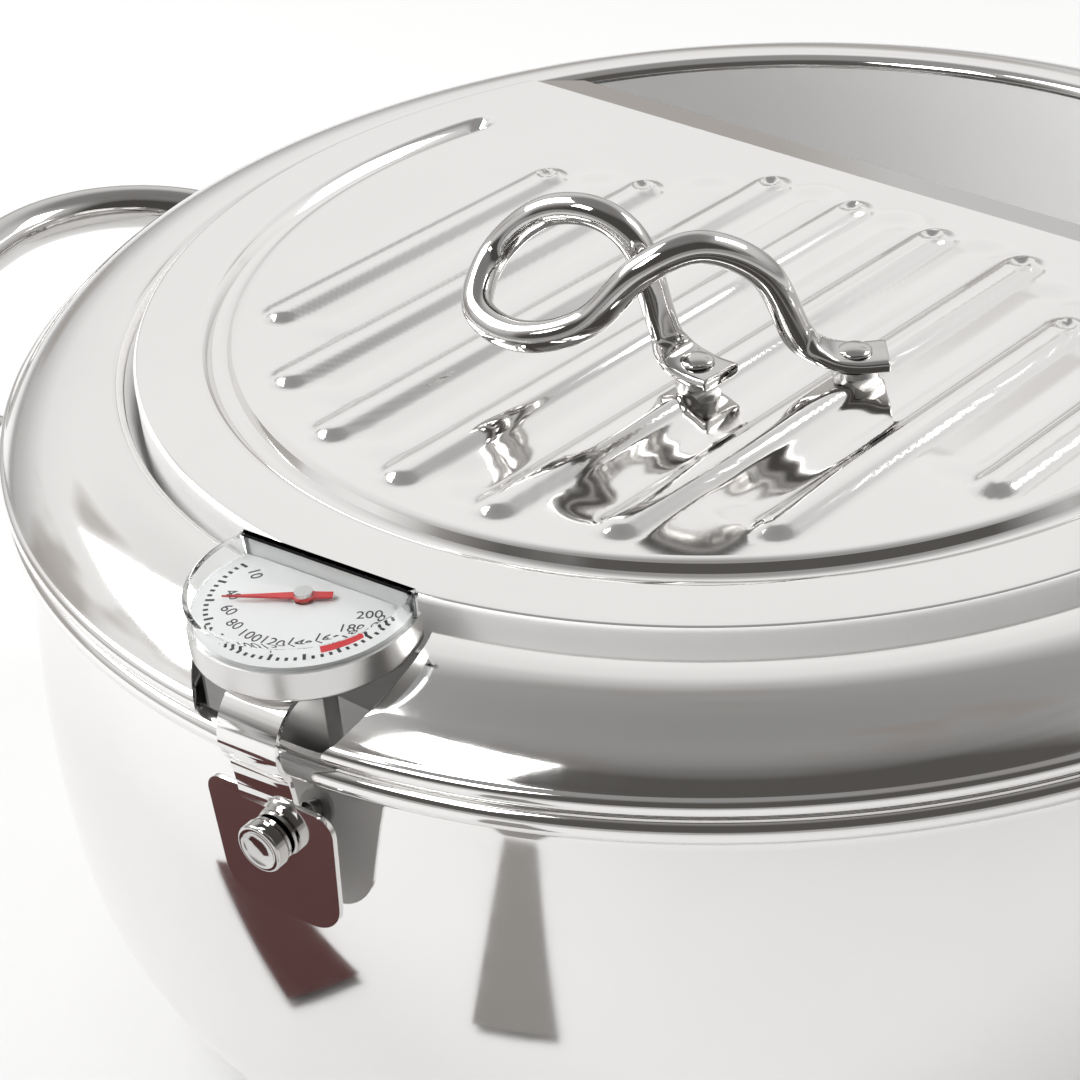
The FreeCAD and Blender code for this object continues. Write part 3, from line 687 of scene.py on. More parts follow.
def settle(piece: bpy.types.Object, body: str, replaces: Sequence[str] = ()) -> None:
    """Makes a finished piece ride on its body and stand for CAD nodes.

    Args:
        piece: The finished object.
        body: The body it moves with.
        replaces: The CAD nodes it stands for.
    """
    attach(piece, body)
    if replaces:
        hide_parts(*replaces)
    LOG.info("%s: %d faces", piece.name, len(piece.data.polygons))


# ---------------------------------------------------------------- pot

@dataclass
class Pot:
    """The spun pot, its bonded base and the two loop handles. Sizes in millimetres."""

    height: float = 104.0
    wall: float = 1.0
    base: float = 5.0
    belly: float = 125.0
    belly_height: float = 54.0
    side_curve: float = 195.0
    corner_curve: float = 36.0
    neck_drop: float = 6.0
    bead: float = 2.2
    bead_out: float = 2.6
    base_radius: float = 98.0
    tube: float = 4.4
    span: float = 90.0
    reach: float = 45.0
    bend: float = 34.0
    drop: float = 17.0
    rise: float = 10.0
    root: float = 9.0

    def side_radius(self, height: float) -> float:
        """The outer radius of the side at a height."""
        hub = self.belly - self.side_curve
        return hub + math.sqrt(self.side_curve ** 2 - (height - self.belly_height) ** 2)

    @property
    def bead_radius(self) -> float:
        """The radius of the rolled rim's middle."""
        return self.side_radius(self.height - self.neck_drop) + self.bead_out

    def profile(self) -> list[Point]:
        """The inside face of the sheet, from the floor's middle to the end of the roll."""
        lean = (self.belly_height - self.base - self.corner_curve)
        sine = lean / (self.side_curve - self.corner_curve)
        hub_x = self.belly - self.side_curve
        corner = (hub_x + (self.side_curve - self.corner_curve) * math.sqrt(1 - sine ** 2),
                  self.base + self.corner_curve)
        low = -math.degrees(math.asin(sine))
        neck = self.height - self.neck_drop
        high = math.degrees(math.asin((neck - self.belly_height) / self.side_curve))
        inside = self.wall
        flat = [(n * corner[0] / 24, self.base + inside) for n in range(1, 24)]
        points = [(0.0, self.base + inside)] + flat
        points += arc(corner, self.corner_curve - inside, -90, low, 26)
        points += arc((hub_x, self.belly_height), self.side_curve - inside, low, high, 30)[1:]
        roll = (self.bead_radius, self.height - self.bead)
        points += arc(roll, self.bead, 165, -165, 30)
        return points

    def build(self) -> None:
        """Builds the pot, the base cap and both handles."""
        shell = spun("pot_shell_polished", self.profile(), steps=320)
        walled(shell, self.wall, -1)
        smooth(shell)
        dress(shell, Finish.POLISHED)
        # The inside below the roll gets the light satin finish: painted light in the shaded pot,
        # partly real satin.
        line_inside(shell, self.height - 2 * self.bead)
        settle(shell, "pot", ["pot_shell"])
        self.build_cap()
        for side, azimuth in (("left", 180.0), ("right", 0.0)):
            self.build_handle(side, azimuth)

    def build_cap(self) -> None:
        """The turned steel cap over the base's aluminium core."""
        edge = 1.2
        rim = self.base_radius
        profile = [(0.0, 0.35)] + [(n * 8.0, 0.35 if n % 2 else 0.0) for n in range(1, 12)]
        profile += [(rim - edge - 0.5, 0.0)]
        profile += arc((rim - edge, edge), edge, -90, 0, 6)
        profile += [(rim, self.base), (rim - 0.8, self.base), (rim - 0.8, 0.8), (0.0, 0.8)]
        cap = spun("base_cap_turned", profile, steps=256)
        dress(cap, Finish.TURNED)
        settle(cap, "pot", ["base_cap"])

    def build_handle(self, side: str, azimuth: float) -> None:
        """One tube loop, extruded and spun round its bends.

        Args:
            side: The handle's name.
            azimuth: Where it points, in degrees.
        """
        deselect()
        wall_z = self.height - self.drop
        wall_r = self.side_radius(wall_z)
        tip, half, bend = wall_r + self.reach, self.span / 2, self.bend
        start = wall_r - self.root
        bpy.ops.mesh.primitive_circle_add(vertices=40, radius=self.tube * MM,
                                          location=(start * MM, -half * MM, 0.0),
                                          rotation=(0, math.pi / 2, 0))
        tube = bpy.context.object
        tube.name = f"{side}_handle_tube"
        bpy.ops.object.transform_apply(location=True, rotation=True, scale=True)

        def run(x: float, y: float) -> None:
            bpy.ops.mesh.extrude_region_move(
                TRANSFORM_OT_translate={"value": (x * MM, y * MM, 0.0)})

        def turn(x: float, y: float) -> None:
            bpy.ops.mesh.spin(steps=22, angle=-math.pi / 2, axis=(0, 0, 1),
                              center=(x * MM, y * MM, 0.0))

        def shape() -> None:
            run(tip - bend - start, 0.0)
            turn(tip - bend, -half + bend)
            run(0.0, 2 * (half - bend))
            turn(tip - bend, half - bend)
            run(start - (tip - bend), 0.0)
            bpy.ops.mesh.select_all(action="SELECT")
            bpy.ops.mesh.fill_holes(sides=0)
            bpy.ops.mesh.normals_make_consistent(inside=False)

        editing(tube, shape)
        for spot in tube.data.vertices:
            if spot.co.x < (start + 1) * MM:
                spot.co.x = math.sqrt((wall_r * MM) ** 2 - spot.co.y ** 2)
        tilt = Matrix.Rotation(-math.radians(self.rise), 4, "Y")
        seat = Vector((wall_r, 0, wall_z)) * MM
        shift = Matrix.Translation(Vector((-wall_r * MM, 0, 0)))
        tube.data.transform(Matrix.Translation(seat) @ tilt @ shift)
        smooth(tube)
        turned(tube, azimuth)
        dress(tube, Finish.ROD)
        settle(tube, "pot", [f"{side}_handle"])


# ---------------------------------------------------------------- splash ring

@dataclass
class SplashRing:
    """The domed ring with its outer bead, crown and funnel. Sizes in millimetres."""

    pot: Pot
    wall: float = 0.6
    gap: float = 0.3
    roll: float = 1.6
    edge: float = 124.5
    crown: float = 104.8
    rise: float = 11.2
    dome_curve: float = 22.0
    crown_curve: float = 2.2
    crown_drop: float = 2.2
    funnel: float = 23.0
    lean: float = 6.6

    def profile(self) -> list[Point]:
        """The upper face of the sheet, from under the bead to the funnel's foot."""
        bead = (self.edge - self.roll, self.pot.height + self.gap + self.roll)
        top = (self.crown, self.pot.height + self.rise)
        throat = (self.crown - self.crown_drop, top[1] - self.crown_drop)
        points = arc(bead, self.roll, -175, 68, 22)
        points += [(bead[0] + 0.45, bead[1] + self.roll - 0.02)]
        points += arc_to(points[-1], top, self.dome_curve, 1, 40)
        points += arc_to(top, throat, self.crown_curve, 1, 10)
        for n in range(1, 15):
            part = n / 14
            points.append((throat[0] - self.lean * part, throat[1] - self.funnel * part))
        return points

    def build(self, dial: "Thermometer") -> None:
        """Builds the ring and cuts the notch for the thermometer.

        Args:
            dial: The thermometer that stands in the notch.
        """
        ring = spun("splash_ring_polished", self.profile(), steps=384)
        walled(ring, self.wall, -1)
        combined(ring, dial.notch(), "DIFFERENCE")
        smooth(ring)
        weighted(ring)
        dress(ring, Finish.POLISHED)
        # The funnel and the faces below the crown get the light satin finish: painted light on their
        # shaded side, partly real satin.
        line_inside(ring, self.pot.height + self.rise - self.crown_drop)
        settle(ring, "splash_ring", ["splash_ring"])


# ---------------------------------------------------------------- drain lid

@dataclass
class DrainLid:
    """The pressed lid, with its groove, ribs, dimples and lip. Sizes in millimetres."""

    pot: Pot
    wall: float = 0.6
    radius: float = 100.5
    stand: float = 13.6
    skirt: float = 10.6
    edge: float = 1.0
    azimuth: float = 73.0
    groove: float = 86.5
    groove_half: float = 2.6
    groove_deep: float = 1.7
    groove_end: float = 75.0
    open_side: float = 44.0
    lip: float = 8.6
    droop: float = 12.0
    rib_half: float = 4.0
    rib_high: float = 1.1
    rib_pitch: float = 18.0
    rib_shift: float = 1.0
    rib_circle: float = 76.0
    rib_flank: float = 2.6
    groove_flank: float = 1.7
    valley_deep: float = 0.42
    dimple: float = 1.9
    dimple_flank: float = 1.3
    dimple_deep: float = 0.75
    dimple_lip: float = 2.3
    dimple_lip_half: float = 0.8
    dimple_lip_high: float = 0.12
    lip_bend: float = 3.0
    lip_sunk: float = 0.02
    lip_inset: float = 1.5
    rib_fronts: tuple[float, ...] = (5.0, 17.0, 31.0, 31.0, 32.0, 32.0, 18.0, 12.0)

    @property
    def top(self) -> float:
        """The height of the lid's flat border."""
        return self.pot.height + self.stand

    def ribs(self) -> list[tuple[float, float, float]]:
        """Each rib's side place, back end and front end."""
        rows = [self.rib_shift + (n - 4) * self.rib_pitch for n in range(len(self.rib_fronts))]
        return [(y, -math.sqrt(self.rib_circle ** 2 - y ** 2), front)
                for y, front in zip(rows, self.rib_fronts)]

    def relief(self, x: float, y: float) -> float:
        """How far the pressing lifts or sinks the sheet at a place.

        Args:
            x: Towards the open side, in millimetres.
            y: Across, in millimetres.

        Returns:
            The height in millimetres.
        """
        return self.groove_relief(x, y) + self.rib_relief(x, y) - self.valley_relief(x, y)

    def groove_relief(self, x: float, y: float) -> float:
        """The round-ended groove's depth at a place."""
        turn = abs(math.degrees(math.atan2(y, x)))
        if turn >= self.groove_end:
            away = abs(math.hypot(x, y) - self.groove)
        else:
            end = math.radians(self.groove_end)
            away = math.hypot(x - self.groove * math.cos(end),
                              abs(y) - self.groove * math.sin(end))
        return -self.groove_deep * smooth_step((self.groove_half - away) / self.groove_flank)

    def valley_relief(self, x: float, y: float) -> float:
        """How far the sheet sags in the round-ended troughs between the ribs."""
        sag, rows = 0.0, self.ribs()
        half = self.rib_pitch / 2
        for (row, back, front), (_, next_back, next_front) in zip(rows, rows[1:]):
            middle = row + half - self.rib_shift
            if abs(y - middle) > half:
                continue
            near = min(max(x, max(back, next_back) + 4), (front + next_front) / 2 - 1)
            away = math.hypot(x - near, y - middle) / (half - self.rib_half * 0.55)
            sag = max(sag, self.valley_deep * smooth_step(1.15 - away))
        return sag

    def rib_relief(self, x: float, y: float) -> float:
        """The height of the ribs and of the dimples at their front ends."""
        lift = 0.0
        for row, back, front in self.ribs():
            if abs(y - row) > self.rib_half + 1:
                continue
            near = min(max(x, back), front)
            away = math.hypot(x - near, y - row)
            lift = max(lift, self.rib_high * smooth_step((self.rib_half - away) / self.rib_flank))
            pit = math.hypot(x - front, y - row)
            lift -= self.dimple_deep * smooth_step((self.dimple - pit) / self.dimple_flank)
            lift += self.dimple_lip_high * smooth_step(
                1 - abs(pit - self.dimple_lip) / self.dimple_lip_half)
        return lift

    def build(self) -> None:
        """Builds the pressed sheet and its lip."""
        count = 118
        rim, border = self.radius - self.edge, 2.0
        profile = [(rim * n / count, self.top) for n in range(count + 1)]
        profile += arc((rim, self.top - self.edge), self.edge, 90, 0, 6)[1:]
        runs = 4
        drop = (self.skirt - self.edge) / runs
        profile += [(self.radius, self.top - self.edge - n * drop) for n in range(1, runs + 1)]
        lid = spun("drain_lid_pressed", profile, steps=440)
        for spot in lid.data.vertices:
            x, y = spot.co.x / MM, spot.co.y / MM
            if math.hypot(x, y) < rim - border:
                spot.co.z += self.relief(x, y) * MM
        self.cut_open_side(lid)
        face_up(lid)
        modified(lid, "SOLIDIFY", thickness=self.wall * MM, offset=-1)
        lid = joined("drain_lid_pressed", [lid, self.lip_sheet()])
        smooth(lid)
        weighted(lid)
        dress(lid, Finish.LID)
        # The skirt beyond the border gets the light satin finish: painted light on faces that sit in
        # shade in the gap.
        lid.data.materials.append(Finish.INNER.value.build())
        for face in lid.data.polygons:
            out = face.center.xy.length / MM - rim
            face.material_index = int(out > 0.55)
        turned(lid, self.azimuth)
        settle(lid, "drain_lid", ["drain_lid"])

    def cut_open_side(self, lid: bpy.types.Object) -> None:
        """Cuts the whole pressed round straight at its open side."""
        editing(lid, lambda: bpy.ops.mesh.bisect(
            plane_co=(self.open_side * MM, 0, 0), plane_no=(1, 0, 0), clear_outer=True))

    def lip_sheet(self) -> bpy.types.Object:
        """The lip that droops from the cut edge, trimmed to the lid's round."""
        bend, half = self.lip_bend, self.radius
        start, face = self.open_side - self.wall / 2, self.top - self.lip_sunk
        line = [(start - self.wall, face)]
        line += arc((start, face - bend), bend, 90, 90 - self.droop, 6)
        slope = math.radians(self.droop)
        line.append((line[-1][0] + self.lip * math.cos(slope),
                     line[-1][1] - self.lip * math.sin(slope)))
        sheet = drawn_line("lid_lip", [Vector((x, -half, z)) * MM for x, z in line])
        editing(sheet, lambda: bpy.ops.mesh.extrude_edges_move(
            TRANSFORM_OT_translate={"value": (0, 2 * half * MM, 0)}))
        face_up(sheet)
        walled(sheet, self.wall, -1)
        limit = drum("lip_limit", (0, 0), self.radius - self.lip_inset,
                     (self.top - 10, self.top + 10), 320)
        combined(sheet, limit, "INTERSECT")
        softened(sheet, 0.12, 2)
        return sheet


@dataclass
class LidHandle:
    """The bent rod with flattened ends. Sizes in millimetres above the lid's top."""

    lid: DrainLid
    thick: float = 5.0
    azimuth: float = 24.0
    foot: float = 3.3
    path: tuple[tuple[float, float, float], ...] = (
        (22.6, -33.6, 3.3), (17.5, -33.8, 3.3), (13.0, -34.0, 4.6), (9.0, -34.3, 8.0),
        (4.0, -36.5, 20.0), (-5.0, -39.5, 26.2),
        (-14.0, -41.0, 23.5), (-23.0, -40.5, 15.0), (-33.0, -38.0, 12.0),
        (-40.0, -30.0, 13.0), (-37.5, -21.5, 18.0), (-29.5, -22.5, 25.0),
        (-21.0, -26.0, 26.2), (-15.0, -28.5, 21.5), (-12.0, -30.0, 10.0),
        (-10.0, -31.8, 4.8), (-6.6, -34.8, 3.3), (-2.9, -38.2, 3.3))
    flat_wide: float = 8.0
    flat_thick: float = 2.2
    squareness: float = 0.55
    rivet: float = 2.7
    rivet_shank: float = 1.6
    rivets: tuple[Point, ...] = ((17.5, -33.8), (-6.6, -34.8))

    def build(self) -> None:
        """Builds the rod as one sweep whose section flattens at both ends."""
        steps = 14
        track = smooth_track([Vector((x, y, z + self.lid.top)) for x, y, z in self.path], steps)
        total = len(track)
        around = 36
        points: list[Vector] = []
        side = Vector((0, 0, 1))
        for index, spot in enumerate(track):
            ahead = track[min(index + 1, total - 1)] - track[max(index - 1, 0)]
            ahead.normalize()
            lift = side - ahead * side.dot(ahead)
            side = lift.normalized()
            flat = self.flatness(index, total, spot)
            up = (UP - ahead * UP.dot(ahead))
            up = side.lerp(up.normalized(), flat).normalized() if up.length > 0.2 else side
            across = ahead.cross(up)
            side = up
            wide = self.thick / 2 + (self.flat_wide - self.thick) / 2 * flat
            high = self.thick / 2 + (self.flat_thick - self.thick) / 2 * flat
            power = 1.0 - self.squareness * flat
            for n in range(around):
                turn = math.tau * n / around
                c, s = math.cos(turn), math.sin(turn)
                point = spot + across * (wide * math.copysign(abs(c) ** power, c))
                points.append((point + up * (high * math.copysign(abs(s) ** power, s))) * MM)
        faces = [(a * around + n, a * around + (n + 1) % around,
                  (a + 1) * around + (n + 1) % around, (a + 1) * around + n)
                 for a in range(total - 1) for n in range(around)]
        faces += [list(range(around))[::-1], [(total - 1) * around + n for n in range(around)]]
        rod = mesh_from("lid_handle_rod", points, faces)
        editing(rod, lambda: bpy.ops.mesh.normals_make_consistent(inside=False))
        softened(rod, 0.3, 3)
        smooth(rod)
        turned(rod, self.azimuth)
        dress(rod, Finish.ROD)
        settle(rod, "drain_lid", ["lid_handle"])

    def build_rivets(self) -> None:
        """The two rivets with low round heads."""
        top = self.lid.top + self.foot + self.flat_thick / 2
        heads = []
        head, shank, foot = self.rivet, self.rivet_shank, top - self.foot
        for number, (x, y) in enumerate(self.rivets):
            profile = [(0.0, foot), (shank, foot), (shank, top), (head, top),
                       (head + 0.02, top + 0.15)]
            profile += [(head * math.cos(t), top + 0.2 + 0.9 * math.sin(t))
                        for t in (math.radians(10 * n) for n in range(1, 9))]
            profile.append((0.0, top + 1.1))
            place = Vector((x, y, 0)) * MM
            heads.append(spun(f"rivet_{number}", profile, steps=48, centre=place,
                              along=lambda p, at=place: at + Vector((p[0], 0, p[1])) * MM))
        rivets = joined("lid_handle_rivet_heads", heads)
        dress(turned(rivets, self.azimuth), Finish.ROD)
        settle(rivets, "drain_lid", ["lid_handle_rivets"])

    def flatness(self, index: int, total: int, spot: Vector) -> float:
        """How flat the section is: 1 at the rod's ends, 0 along its bends."""
        high = spot.z - self.lid.top
        near_end = min(index, total - 1 - index) / total < 0.25
        return smooth_step((7.5 - high) / 4.0) if near_end else 0.0


def smooth_track(corners: Sequence[Vector], steps: int) -> list[Vector]:
    """A smooth line through its corners.

    Args:
        corners: The points it passes through.
        steps: How many runs lie between two corners.

    Returns:
        The line's points.
    """
    ends = [corners[0] * 2 - corners[1], *corners, corners[-1] * 2 - corners[-2]]
    track = []
    for a, b, c, d in zip(ends, ends[1:], ends[2:], ends[3:]):
        for n in range(steps):
            t = n / steps
            track.append(0.5 * ((2 * b) + (c - a) * t + (2 * a - 5 * b + 4 * c - d) * t ** 2
                                + (3 * b - a - 3 * c + d) * t ** 3))
    return track + [corners[-1]]


# ---------------------------------------------------------------- thermometer

@dataclass
class Thermometer:
    """The dial case, its clear cap, dial, pointer, strap and clamp screw. In millimetres."""

    pot: Pot
    azimuth: float = 261.0
    hub: float = 111.0
    radius: float = 16.5
    flat: float = 6.1
    stand: float = 10.5
    high: float = 9.0
    wall: float = 1.2
    cup: float = 4.8
    lens: float = 0.8
    seal: float = 0.3
    seal_wide: float = 0.6
    foot_round: float = 0.9
    cap_round: float = 0.9
    frosted: float = 1.05
    plate: float = 0.5
    corner: float = 5.5
    values: tuple[int, ...] = (10, 40, 60, 80, 100, 120, 140, 160, 180, 200)
    sweep: float = 98.0
    ticks: float = 13.9
    figure_circle: float = 10.4
    figure_high: float = 2.5
    strap: float = 10.5
    shift: float = 3.0
    arm_wide: float = 16.5
    sheet: float = 0.8
    curl: float = 7.1
    curl_out: float = 4.4
    curl_end: float = 1.0
    plate_out: float = 2.2
    plate_wide: float = 23.0
    plate_high: float = 21.0
    plate_corner: float = 5.5
    plate_shoulder: float = 3.0
    taper: float = 0.88
    screw_drop: float = 13.0
    knob: float = 3.8
    knob_high: float = 3.0

    @property
    def foot(self) -> float:
        """The height of the case's underside."""
        return self.pot.height + self.stand

    def notch(self) -> bpy.types.Object:
        """A solid as large as the room the splash ring leaves for the thermometer."""
        gap = 0.8
        low, tall = self.pot.height - 20, 60.0
        room = drum("room", (self.hub, 0), self.radius + gap, (low, low + tall), 96)
        edge = (self.hub - self.flat - gap - 2) * MM
        editing(room, lambda: bpy.ops.mesh.bisect(
            plane_co=(edge, 0, 0), plane_no=(-1, 0, 0), clear_outer=True, use_fill=True))
        behind, wide = self.hub - self.flat - gap, self.radius - 2
        over = self.pot.height + 5
        half = self.strap / 2 + 1.5
        for space in (block("room_behind", (behind - 6, behind + 8), (-wide, wide),
                            (over, over + 30)),
                      block("room_below", (self.hub, self.hub + 30),
                            (self.shift - half, self.shift + half), (low + 0.5, low + tall + 0.5))):
            combined(room, space, "UNION")
        return turned(room, self.azimuth)

    def outlined(self, name: str, inset: float, z: Point, corner: float) -> bpy.types.Object:
        """A D-shaped block with its two upright corners rounded.

        Args:
            name: The new object's name.
            inset: How far it stands inside the case's outline, in millimetres.
            z: Its underside and its top.
            corner: How far the corners' rounding reaches.

        Returns:
            The new object.
        """
        piece = drum(name, (self.hub, 0), self.radius - inset, z, 180)
        flat = (self.hub - self.flat + inset) * MM

        def cut() -> None:
            bpy.ops.mesh.bisect(plane_co=(flat, 0, 0), plane_no=(-1, 0, 0),
                                clear_outer=True, use_fill=True)
            bpy.ops.mesh.select_all(action="SELECT")
            bpy.ops.mesh.normals_make_consistent(inside=False)

        def upright(side: bpy.types.MeshEdge) -> bool:
            a, b = (piece.data.vertices[n].co for n in side.vertices)
            return abs(a.x - flat) < 1e-5 and (a - b).xy.length < 1e-5

        editing(piece, cut)
        rounded(piece, upright, corner, 12)
        return piece

    def build(self) -> None:
        """Builds the case, its clear cap, the dial, the strap and the clamp screw."""
        self.build_case()
        self.build_dial()
        self.build_strap()
        self.build_screw()

    def build_case(self) -> None:
        """The satin cup and the clear cap that stands on its rim."""
        rim = self.foot + self.cup
        case = self.outlined("thermometer_case_satin", 0.0, (self.foot, rim), self.corner)
        low = (self.foot + 0.01) * MM
        rounded(case, lambda side: all(case.data.vertices[n].co.z < low for n in side.vertices),
                self.foot_round, 5)

        def hollow() -> None:
            bpy.ops.mesh.inset(thickness=self.wall * MM)
            bpy.ops.mesh.extrude_region_move(
                TRANSFORM_OT_translate={"value": (0, 0, (self.wall - self.cup) * MM)})

        editing_chosen(case, lambda face: face.normal.z > 0.9, hollow, "FACE")
        smooth(case)
        weighted(case)
        dress(turned(case, self.azimuth), Finish.CASE)
        settle(case, "pot", ["thermometer_case"])
        seal = self.outlined("lens_gasket_seal", 0.3, (rim - self.seal, rim - 0.02), self.corner)
        editing_chosen(seal, lambda face: abs(face.normal.z) > 0.9,
                       lambda: self.open_middle(self.seal_wide), "FACE")
        smooth(seal)
        dress(turned(seal, self.azimuth), Finish.RUBBER)
        settle(seal, "pot", ["lens_gasket"])
        self.build_lens(rim + 0.06, self.foot + self.high)

    def build_lens(self, low: float, top: float) -> None:
        """The clear moulded cap, opaque and light grey along its straight side.

        Args:
            low: The height of its foot in millimetres.
            top: The height of its top.
        """
        lens = self.outlined("case_lens_clear", 0.1, (low, top), self.corner)
        high = (top - 0.01) * MM
        rounded(lens, lambda side: all(lens.data.vertices[n].co.z > high for n in side.vertices),
                self.cap_round, 8)
        editing_chosen(lens, lambda face: face.normal.z < -0.9,
                       lambda: bpy.ops.mesh.delete(type="FACE"), "FACE")
        modified(lens, "SOLIDIFY", thickness=self.lens * MM, offset=-1)
        smooth(lens, 40)
        weighted(lens)
        dress(lens, Finish.CLEAR)
        # Faces near the straight side get an opaque light grey finish in place of the clear one.
        lens.data.materials.append(Finish.EDGE.value.build())
        back = (self.hub - self.flat + self.frosted) * MM
        for face in lens.data.polygons:
            face.material_index = int(face.center.x < back and len(face.vertices) < 30)
        settle(turned(lens, self.azimuth), "pot", ["case_lens"])

    def open_middle(self, wide: float) -> None:
        """Cuts the middle out of a block's chosen top and bottom faces, leaving a frame."""
        bpy.ops.mesh.inset(thickness=wide * MM)
        bpy.ops.mesh.bridge_edge_loops()

    def build_dial(self) -> None:
        """The white dial with its ticks, numbers and the mark of too hot oil."""
        low = self.foot + self.cup
        face = low + self.plate
        inset = self.lens + 0.25
        dial = self.outlined("dial_face", inset, (low, face), self.corner - 0.8)
        smooth(dial)
        dress(dial, Finish.DIAL)
        prints = [self.tick(turn, face, turn % 20 == 0) for turn in range(-100, 101, 5)]
        for value, turn in zip(self.values, self.turns()):
            prints.append(self.figure(str(value), turn, face))
        prints.append(self.hot_mark(face))
        dial = joined("dial_face", [dial, *prints])
        turned(dial, self.azimuth)
        settle(dial, "pot", ["dial_plate"])

    def turns(self) -> list[float]:
        """The angle of each number about the hub, in degrees."""
        first, last = self.values[0], self.values[-1]
        return [-self.sweep + 2 * self.sweep * (v - first) / (last - first) for v in self.values]

    def around(self, turn: float, radius: float, height: float) -> Vector:
        """A place on the dial, in metres.

        Args:
            turn: The angle about the hub in degrees.
            radius: How far from the hub, in millimetres.
            height: The height in millimetres.

        Returns:
            The place before the thermometer is turned to its azimuth.
        """
        t = math.radians(turn)
        return Vector((self.hub + radius * math.cos(t), radius * math.sin(t), height)) * MM

    def tick(self, turn: float, face: float, long: bool) -> bpy.types.Object:
        """One printed tick.

        Args:
            turn: Its angle about the hub in degrees.
            face: The dial's face.
            long: Whether it is one of the long ones.

        Returns:
            The tick's mesh.
        """
        deselect()
        reach = 1.3 if long else 0.7
        wide, thick = 0.45, 0.06
        bpy.ops.mesh.primitive_cube_add(size=1, scale=(reach * MM, wide * MM, thick * MM),
                                        location=self.around(turn, self.ticks - reach / 2, face),
                                        rotation=(0, 0, math.radians(turn)))
        mark = bpy.context.object
        bpy.ops.object.transform_apply(location=True, rotation=True, scale=True)
        dress(mark, Finish.INK)
        return mark

    def figure(self, text: str, turn: float, face: float) -> bpy.types.Object:
        """One printed number.

        Args:
            text: The number.
            turn: Its angle about the hub in degrees.
            face: The dial's face.

        Returns:
            The number's mesh.
        """
        deselect()
        place = self.around(turn, self.figure_circle, face + 0.01)
        bpy.ops.object.text_add(location=place, rotation=(0, 0, math.radians(90 + turn * 0.35)))
        letters = bpy.context.object
        letters.data.body = text
        letters.data.size = self.figure_high * MM
        letters.data.extrude = 0.02 * MM
        letters.data.align_x, letters.data.align_y = "CENTER", "CENTER"
        bpy.ops.object.convert(target="MESH")
        bpy.ops.object.transform_apply(location=True, rotation=True, scale=True)
        dress(letters, Finish.INK)
        return letters

    def hot_mark(self, face: float) -> bpy.types.Object:
        """The red arc beside the hottest numbers."""
        thick = 0.04
        height = face + thick
        turn, reach = 50, 28
        mark = drawn_line("hot_mark", [self.around(turn, radius, height) for radius in (11.9, 12.9)])
        editing(mark, lambda: bpy.ops.mesh.spin(
            steps=10, angle=-math.radians(reach), axis=(0, 0, 1),
            center=(self.hub * MM, 0, height * MM)))
        face_up(mark)
        modified(mark, "SOLIDIFY", thickness=thick * MM, offset=-1)
        dress(mark, Finish.RED)
        return mark

    def build_strap(self) -> None:
        """The arm under the case, the curl over the rim and the plate outside."""
        rim, curl = self.pot.height, self.curl
        bead = self.pot.bead_radius + self.pot.bead
        centre = (bead - curl + self.curl_out, self.foot - curl)
        end = rim - self.curl_end
        drop = math.degrees(math.asin((end - centre[1]) / curl))
        plate = bead + self.plate_out
        line = [(self.hub - self.flat + 0.4, self.foot)] + arc(centre, curl, 90, drop, 26)
        line += bend_between(line[-1], (plate, rim - 5), (plate, rim - 8), 12)
        side = self.shift - self.strap / 2
        band = drawn_line("strap_band", [Vector((x, side, z)) * MM for x, z in line])
        editing(band, lambda: bpy.ops.mesh.extrude_edges_move(
            TRANSFORM_OT_translate={"value": (0, self.strap * MM, 0)}))
        face_up(band)
        walled(band, self.sheet, -1)
        tongue = self.tongue(plate)
        half = self.arm_wide / 2
        arm = block("strap_arm", (line[0][0], centre[0]), (-half, half),
                    (self.foot - self.sheet, self.foot))
        for piece in (tongue, arm):
            combined(band, piece, "UNION")
        softened(band, 0.16, 3)
        smooth(band)
        band.name = "thermometer_strap_polished"
        dress(band, Finish.POLISHED)
        # Faces that look back at the pot get the light satin finish: painted light, so the shaded
        # back and its mirror image in the body are not dark.
        band.data.materials.append(Finish.INNER.value.build())
        large = 50 * MM ** 2
        for face in band.data.polygons:
            face.material_index = int(face.normal.x < -0.5)
            face.use_smooth = face.area < large
        settle(turned(band, self.azimuth), "pot", ["thermometer_strap"])

    def tongue(self, plate: float) -> bpy.types.Object:
        """The plate that carries the screw, narrower and round-cornered at its foot.

        Args:
            plate: The radius of its outer face.

        Returns:
            The plate's mesh.
        """
        top = self.pot.height - 6
        low = top - self.plate_high
        middle = (low + top) / 2
        half = self.plate_wide / 2
        piece = block("strap_plate", (plate - self.sheet, plate),
                      (self.shift - half, self.shift + half), (low, top))
        for spot in piece.data.vertices:
            if spot.co.z < (low + 1) * MM:
                spot.co.y = (self.shift + (spot.co.y / MM - self.shift) * self.taper) * MM

        def crosswise(side: bpy.types.MeshEdge) -> bool:
            a, b = (piece.data.vertices[n].co for n in side.vertices)
            return abs(a.x - b.x) > 1e-5 and (a.z < middle * MM) == at_foot

        for at_foot, corner in ((True, self.plate_corner), (False, self.plate_shoulder)):
            rounded(piece, crosswise, corner, 10)
        return piece

